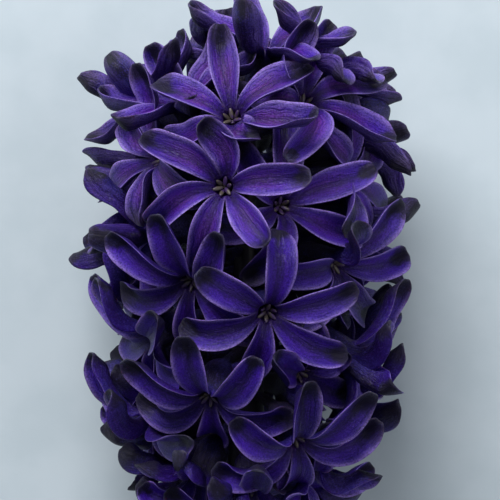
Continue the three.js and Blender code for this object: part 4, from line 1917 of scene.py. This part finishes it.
@dataclass
class Stamens:
    """Six anthers round the stigma, in the mouth of a floret.

    Attributes:
        ring: Distance of the anthers from the middle.
        depth: Of the anthers' middles below the mouth.
        anther: Half sizes of an anther.
        splay: How far the anthers lean out, in radians.
        outer_lean: Of every second anther, against that.
        inner_lean: Of the ones between.
        first: Where the first anther sits round the mouth.
        ovary: Radius of the ovary at the bottom.
        ovary_depth: Of its middle below the mouth.
        style_foot: Radius of the style at its foot.
        style_head: Radius at its head.
        style_length: Of the style.
        style_depth: Of its middle below the mouth.
        stigma: Radius of the stigma.
        stigma_depth: Of its middle below the mouth.
    """

    ring: float = 1.1
    depth: float = 0.1
    anther: tuple[float, float, float] = (0.28, 0.44, 1.15)
    splay: float = 0.8
    outer_lean: float = 1.25
    inner_lean: float = 0.7
    first: float = 4.0
    ovary: float = 1.15
    ovary_depth: float = 4.6
    style_foot: float = 0.45
    style_head: float = 0.3
    style_length: float = 2.6
    style_depth: float = 2.6
    stigma: float = 0.42
    stigma_depth: float = 1.3

    def build(self) -> bpy.types.Object:
        """Models the group round the origin, its middle along +Z.

        Returns:
            The group, which is removed when all copies are made.
        """
        piece = self._pistil()
        pistil_faces = len(piece.data.polygons)
        bpy.ops.object.mode_set(mode="EDIT")
        for k in range(LOBES):
            turn = math.radians(SIXTH * k + self.first)
            lean = self.splay * (self.outer_lean if k % 2 else self.inner_lean)
            bpy.ops.mesh.primitive_uv_sphere_add(
                segments=10,
                ring_count=8,
                radius=MM,
                location=(self.ring * math.cos(turn) * MM, self.ring * math.sin(turn) * MM, -self.depth * MM),
                rotation=(0.0, lean, turn),
                scale=self.anther,
            )
        bpy.ops.object.mode_set(mode="OBJECT")
        bpy.ops.object.transform_apply(location=True, rotation=True, scale=True)
        for face in piece.data.polygons:
            face.material_index = 0 if face.index < pistil_faces else 1
        return piece

    def _pistil(self) -> bpy.types.Object:
        """Starts the group with the ovary, the style and the stigma.

        Returns:
            The group so far.
        """
        deselect()
        bpy.ops.mesh.primitive_uv_sphere_add(
            segments=12, ring_count=8, radius=self.ovary * MM, location=(0.0, 0.0, -self.ovary_depth * MM)
        )
        piece = bpy.context.object
        piece.name = "stamens_mould"
        bpy.ops.object.mode_set(mode="EDIT")
        bpy.ops.mesh.primitive_cone_add(
            vertices=8,
            radius1=self.style_foot * MM,
            radius2=self.style_head * MM,
            depth=self.style_length * MM,
            location=(0.0, 0.0, -self.style_depth * MM),
        )
        bpy.ops.mesh.primitive_uv_sphere_add(
            segments=8, ring_count=6, radius=self.stigma * MM, location=(0.0, 0.0, -self.stigma_depth * MM)
        )
        bpy.ops.object.mode_set(mode="OBJECT")
        return piece


@dataclass
class Raceme:
    """All florets on the stalk.

    Attributes:
        seed: Of the small differences between lobes.
        deepest: How far the stamens of some florets sit below the mouth.
        lowest: Height over the table to which the lobes that lie on it are pressed flat.
        twist: Least and most twist of a lobe, and so on as in LobeHabit.
        least_glow: Warm colour and painted vein highlight of the oldest florets.
        glows_from: Height along the stalk from which there is more of it.
        glows_over: Height over which it grows to its full strength.
    """

    seed: int = 17
    deepest: float = 1.2
    lowest: float = 0.1
    twist: tuple[float, float] = (-18.0, 18.0)
    wave: tuple[float, float] = (0.15, 0.6)
    phase: tuple[float, float] = (0.0, 1.0)
    fold: tuple[float, float] = (1.0, 1.85)
    hood: tuple[float, float] = (0.6, 2.8)
    tone: tuple[float, float] = (0.0, 1.0)
    tip: tuple[float, float] = (0.1, 0.38)
    least_glow: float = 0.1
    glows_from: float = 40.0
    glows_over: float = 50.0

    def build(self, bed: Bed) -> None:
        """Grows the florets and makes each from the mould.

        Args:
            bed: Carries the raceme to the table.
        """
        grown = Grower(FLORETS).run()
        log.info("lobes grown: %d", LOBES * len(grown))
        mould = FloretMould()
        pattern = mould.build()
        group = Stamens().build()
        skins = [LobeFinish().dress()]
        inside = [PistilFinish().dress(), PollenFinish().dress()]
        chance = np.random.default_rng(self.seed)
        for index, (floret, shape) in enumerate(zip(FLORETS, grown), start=1):
            posed = PosedFloret(mould, shape, self._habits(chance), self._glow(floret))
            spots = np.array([bed.place(p) for p in posed.points()])
            spots[:, 2] = np.maximum(spots[:, 2], self.lowest * MM)
            piece = self._copy(pattern, spots)
            marks = piece.data.attributes.new("grown", "FLOAT_COLOR", "POINT")
            marks.data.foreach_set("color", posed.marks().ravel().astype(np.float32))
            subdivide(piece)
            finish_piece(piece, f"bloom_{index:02d}", skins)
            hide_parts(f"floret_{index:02d}")
            anthers = self._copy(group, self._seat(group, shape, chance.uniform(0.0, self.deepest), bed))
            finish_piece(anthers, f"stamens_{index:02d}", inside)
        for mould_piece in (pattern, group):
            bpy.data.objects.remove(mould_piece)

    def _habits(self, chance: np.random.Generator) -> list[LobeHabit]:
        """Draws the small differences of six lobes.

        Args:
            chance: Gives the numbers, in this order.

        Returns:
            One habit for each lobe.
        """
        ranges = (self.twist, self.wave, self.phase, self.fold, self.hood, self.tone, self.tip)
        return [LobeHabit(*(chance.uniform(*ends) for ends in ranges)) for _ in range(LOBES)]

    def _glow(self, floret: Floret) -> float:
        """Warm colour and painted vein highlight, strongest in the upper florets near the tip."""
        upper = smooth((floret.height - self.glows_from) / self.glows_over)
        return self.least_glow + (1.0 - self.least_glow) * upper

    @staticmethod
    def _copy(pattern: bpy.types.Object, points: np.ndarray) -> bpy.types.Object:
        """A copy of a pattern with a mesh of its own, its points put where they belong.

        Args:
            pattern: The mould.
            points: Places for its points, in metres.

        Returns:
            The copy.
        """
        piece = pattern.copy()
        piece.data = pattern.data.copy()
        bpy.context.scene.collection.objects.link(piece)
        piece.data.vertices.foreach_set("co", points.ravel())
        piece.data.update()
        return piece

    @staticmethod
    def _seat(group: bpy.types.Object, shape: GrownFloret, sunk: float, bed: Bed) -> np.ndarray:
        """Places the points of the stamens in a floret's mouth, or sunk below it.

        Args:
            group: The mould of the stamens.
            shape: The grown floret.
            sunk: How far they sit below the mouth.
            bed: Carries the raceme to the table.

        Returns:
            The places, in metres.
        """
        facing = shape.facing
        x = facing.radial(shape.roll)
        y = facing.radial(shape.roll + QUARTER)
        local = np.array([v.co for v in group.data.vertices]) / MM
        spots = (facing.throat + x * p[0] + y * p[1] + facing.axis * (p[2] - sunk) for p in local)
        return np.array([bed.place(spot) for spot in spots])


Ring = tuple[Vector, float, float]  # middle, slope and radius of a ring of the stalk


@dataclass(frozen=True)
class StalkEnd:
    """How one end of the stalk is closed. Lengths are shares of its radius there.

    Attributes:
        sign: 1 at the tip and -1 at the cut.
        inset: Width of the outermost ring.
        out: How far all inside that ring is pushed out.
        crown: How far the middle is pushed out further, or back in when below 0.
        rims: Widths of the two rings between.
    """

    sign: float
    inset: float
    out: float
    crown: float
    rims: tuple[float, float] = (0.1, 0.3)


@dataclass
class Stalk:
    """The bare stalk and its continuation between the florets.

    Attributes:
        sides: Round the stalk.
        steps: Rings along the bare part and along the straight part.
        crisp: Share of the bare part between the cut and the ring that keeps its edge crisp.
        rests: Height of the cut end's middle over the table, against its radius.
        swell: How soon the bare part thickens towards the cut, less than 1 being sooner.
        near: A face this near to an end's middle closes it, as a share of the radius.
        cut_depth: A point less deep than this is on the cut, as a share of the radius.
        cut_reach: And when it is nearer to the middle than this.
        tip: How the tip is closed.
        cut: How the cut end is closed.
    """

    sides: int = 20
    steps: int = 14
    crisp: float = 0.004
    rests: float = 0.94
    swell: float = 0.8
    near: float = 0.05
    cut_depth: float = 0.1
    cut_reach: float = 0.97
    tip: StalkEnd = StalkEnd(sign=1.0, inset=0.45, out=0.2, crown=0.05)
    cut: StalkEnd = StalkEnd(sign=-1.0, inset=0.06, out=0.02, crown=-0.03)

    def build(self, bed: Bed) -> None:
        """Models the stalk where it lies.

        Args:
            bed: Carries the raceme to the table.
        """
        rings = self._rings(bed)
        middle, slope, radius = rings[0]
        deselect()
        bpy.ops.mesh.primitive_circle_add(
            vertices=self.sides,
            radius=radius,
            fill_type="NGON",
            location=middle,
            rotation=(slope - math.radians(QUARTER), 0.0, 0.0),
            enter_editmode=True,
        )
        piece = bpy.context.object
        bpy.ops.mesh.select_all(action="SELECT")
        for before, after in zip(rings, rings[1:]):
            step = after[0] - before[0]
            bpy.ops.mesh.extrude_region_move(TRANSFORM_OT_translate={"value": step})
            bpy.ops.transform.rotate(
                value=-(after[1] - before[1]), orient_axis="X", center_override=after[0]
            )
            share = after[2] / before[2]
            bpy.ops.transform.resize(value=(share, share, share), center_override=after[0])
        self._close(piece, rings[-1], self.tip)
        self._close(piece, rings[0], self.cut)
        bpy.ops.object.mode_set(mode="OBJECT")
        bpy.ops.object.transform_apply(location=True, rotation=True, scale=True)
        self._mark_cut(piece, rings[0])
        subdivide(piece)
        finish_piece(piece, "stalk", [StalkFinish().dress()])
        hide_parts("stem")

    def _rings(self, bed: Bed) -> list[Ring]:
        """Works out the rings from the cut end to the tip.

        Args:
            bed: Carries the raceme to the table.

        Returns:
            The rings, in metres.
        """
        tilt = math.tan(math.radians(STALK.tilt))
        end = STALK.cut_radius * self.rests
        droop = (end - STALK.axis_height + STALK.bare * tilt) / STALK.bare**2
        rings = []
        for share in [0.0, self.crisp] + [i / self.steps for i in range(1, self.steps + 1)]:
            y = -STALK.bare * (1.0 - share)
            swell = (-y / STALK.bare) ** self.swell
            radius = STALK.radius + (STALK.cut_radius - STALK.radius) * swell
            spot = bed.plain((0.0, y, STALK.axis_height + tilt * y + droop * y * y))
            rings.append((Vector(spot), math.atan(tilt + 2.0 * droop * y), radius * MM))
        for i in range(1, self.steps + 1):
            height = STALK.top * i / self.steps
            spot = bed.place(np.array([0.0, height, 0.0]))
            rings.append((Vector(spot), math.radians(STALK.tilt), STALK.radius_at(height) * MM))
        return rings

    def _close(self, piece: bpy.types.Object, ring: Ring, end: StalkEnd) -> None:
        """Rounds the tip, or gives the cut its rim and pith.

        Args:
            piece: The stalk, being edited.
            ring: The ring at this end.
            end: How it is closed.
        """
        middle, slope, radius = ring
        along = Vector((0.0, math.cos(slope), math.sin(slope))) * end.sign

        def on_end(point: Vector) -> bool:
            """Whether a face closes this end."""
            return (point - middle).length < self.near * radius

        select_faces(piece, on_end)
        bpy.ops.mesh.inset(thickness=end.inset * radius)
        bpy.ops.transform.translate(value=along * (end.out * radius))
        for rim in end.rims:
            bpy.ops.mesh.inset(thickness=rim * radius)
        bpy.ops.transform.translate(value=along * (end.crown * radius))

    def _mark_cut(self, piece: bpy.types.Object, ring: Ring) -> None:
        """Marks the points of the pale cut face.

        Args:
            piece: The stalk.
            ring: The ring at the cut end.
        """
        middle, slope, radius = ring
        along = Vector((0.0, math.cos(slope), math.sin(slope)))
        pith = piece.data.attributes.new("pith", "FLOAT", "POINT")
        for point in piece.data.vertices:
            off = point.co - middle
            shallow = off.dot(along) < self.cut_depth * radius
            on_cut = shallow and off.length < self.cut_reach * radius
            pith.data[point.index].value = 1.0 if on_cut else 0.0


# ------------------------------------------------------------------ the studio
@dataclass(frozen=True)
class Lamp:
    """One broad light.

    Attributes:
        name: For the light.
        spot: Where it hangs, in the raceme's frame.
        size: Of its square, in metres.
        power: In watts.
    """

    name: str
    spot: tuple[float, float, float]
    size: float
    power: float


@dataclass
class Studio:
    """The pale table, the soft light and the camera that looks down on the florets.

    Attributes:
        distance: Of the camera from the stalk.
        frame: Width of the picture at the stalk.
        look_at: Height along the raceme at the middle of the picture.
        aside: Of the middle of the picture from the stalk.
        sensor: Width of the camera's sensor.
        nearest: What is nearer to the camera isn't seen, in metres.
        floor: Side of the table, in metres.
        lamps: A strong light up and to the left, and a weak one to the right.
        lit_at: Height along the raceme at which both point.
        glow: Colour of the lamps.
        sky: Colour of the light from all round.
        sky_power: Its strength.
    """

    distance: float = 480.0
    frame: float = 100.0
    look_at: float = 56.0
    aside: float = 0.6
    sensor: float = 36.0
    nearest: float = 0.01
    floor: float = 3.0
    lamps: tuple[Lamp, ...] = (
        Lamp("key", (-170.0, 560.0, 420.0), 0.45, 6.2),
        Lamp("fill", (420.0, 40.0, 380.0), 0.6, 0.9),
    )
    lit_at: float = 50.0
    glow: tuple[float, float, float] = (1.0, 0.99, 0.97)
    sky: tuple[float, float, float, float] = (0.86, 0.93, 1.0, 1.0)
    sky_power: float = 0.18

    def build(self, bed: Bed) -> None:
        """Sets up everything that isn't the flower.

        Args:
            bed: Carries the raceme to the table.
        """
        self._floor()
        self._camera(bed)
        for lamp in self.lamps:
            self._hang(lamp, bed)
        self._sky()

    def _floor(self) -> None:
        """Lays the pale sheet."""
        deselect()
        bpy.ops.mesh.primitive_plane_add(size=self.floor, location=(0.0, 0.0, 0.0))
        floor = bpy.context.object
        floor.name = "floor"
        floor.data.materials.append(PaperFinish().dress())

    def _camera(self, bed: Bed) -> None:
        """Looks straight at the raceme from above.

        Args:
            bed: Carries the raceme to the table.
        """
        lens = bpy.data.cameras.new("camera")
        lens.sensor_width = self.sensor
        lens.lens = self.sensor * self.distance / self.frame
        lens.clip_start = self.nearest
        camera = bpy.data.objects.new("camera", lens)
        bpy.context.scene.collection.objects.link(camera)
        x, y, z = (bed.direct(direction) for direction in np.eye(3))
        eye = bed.place(np.array([self.aside, self.look_at, self.distance]))
        pose = Matrix((x, y, z)).transposed().to_4x4()
        pose.translation = Vector(eye)
        camera.matrix_world = pose
        bpy.context.scene.camera = camera

    def _hang(self, lamp: Lamp, bed: Bed) -> None:
        """Hangs one light and points it at the raceme.

        Args:
            lamp: The light.
            bed: Carries the raceme to the table.
        """
        area = bpy.data.lights.new(lamp.name, "AREA")
        area.size = lamp.size
        area.energy = lamp.power
        area.color = self.glow
        light = bpy.data.objects.new(lamp.name, area)
        bpy.context.scene.collection.objects.link(light)
        target = Vector(bed.place(np.array([0.0, self.lit_at, 0.0])))
        light.location = Vector(bed.place(np.array(lamp.spot)))
        light.rotation_euler = (light.location - target).to_track_quat("Z", "Y").to_euler()

    def _sky(self) -> None:
        """Lights everything faintly from all round."""
        world = bpy.data.worlds.new("studio")
        world.use_nodes = True
        back = world.node_tree.nodes["Background"]
        back.inputs["Color"].default_value = self.sky
        back.inputs["Strength"].default_value = self.sky_power
        bpy.context.scene.world = world
        bpy.context.scene.view_settings.view_transform = "Standard"


def main() -> None:
    """Builds the flower and its setting, in order."""
    logging.basicConfig(level=logging.INFO, format="%(name)s: %(message)s")
    bed = Bed()
    Stalk().build(bed)
    Raceme().build(bed)
    Studio().build(bed)


if __name__ == "__main__":
    main()
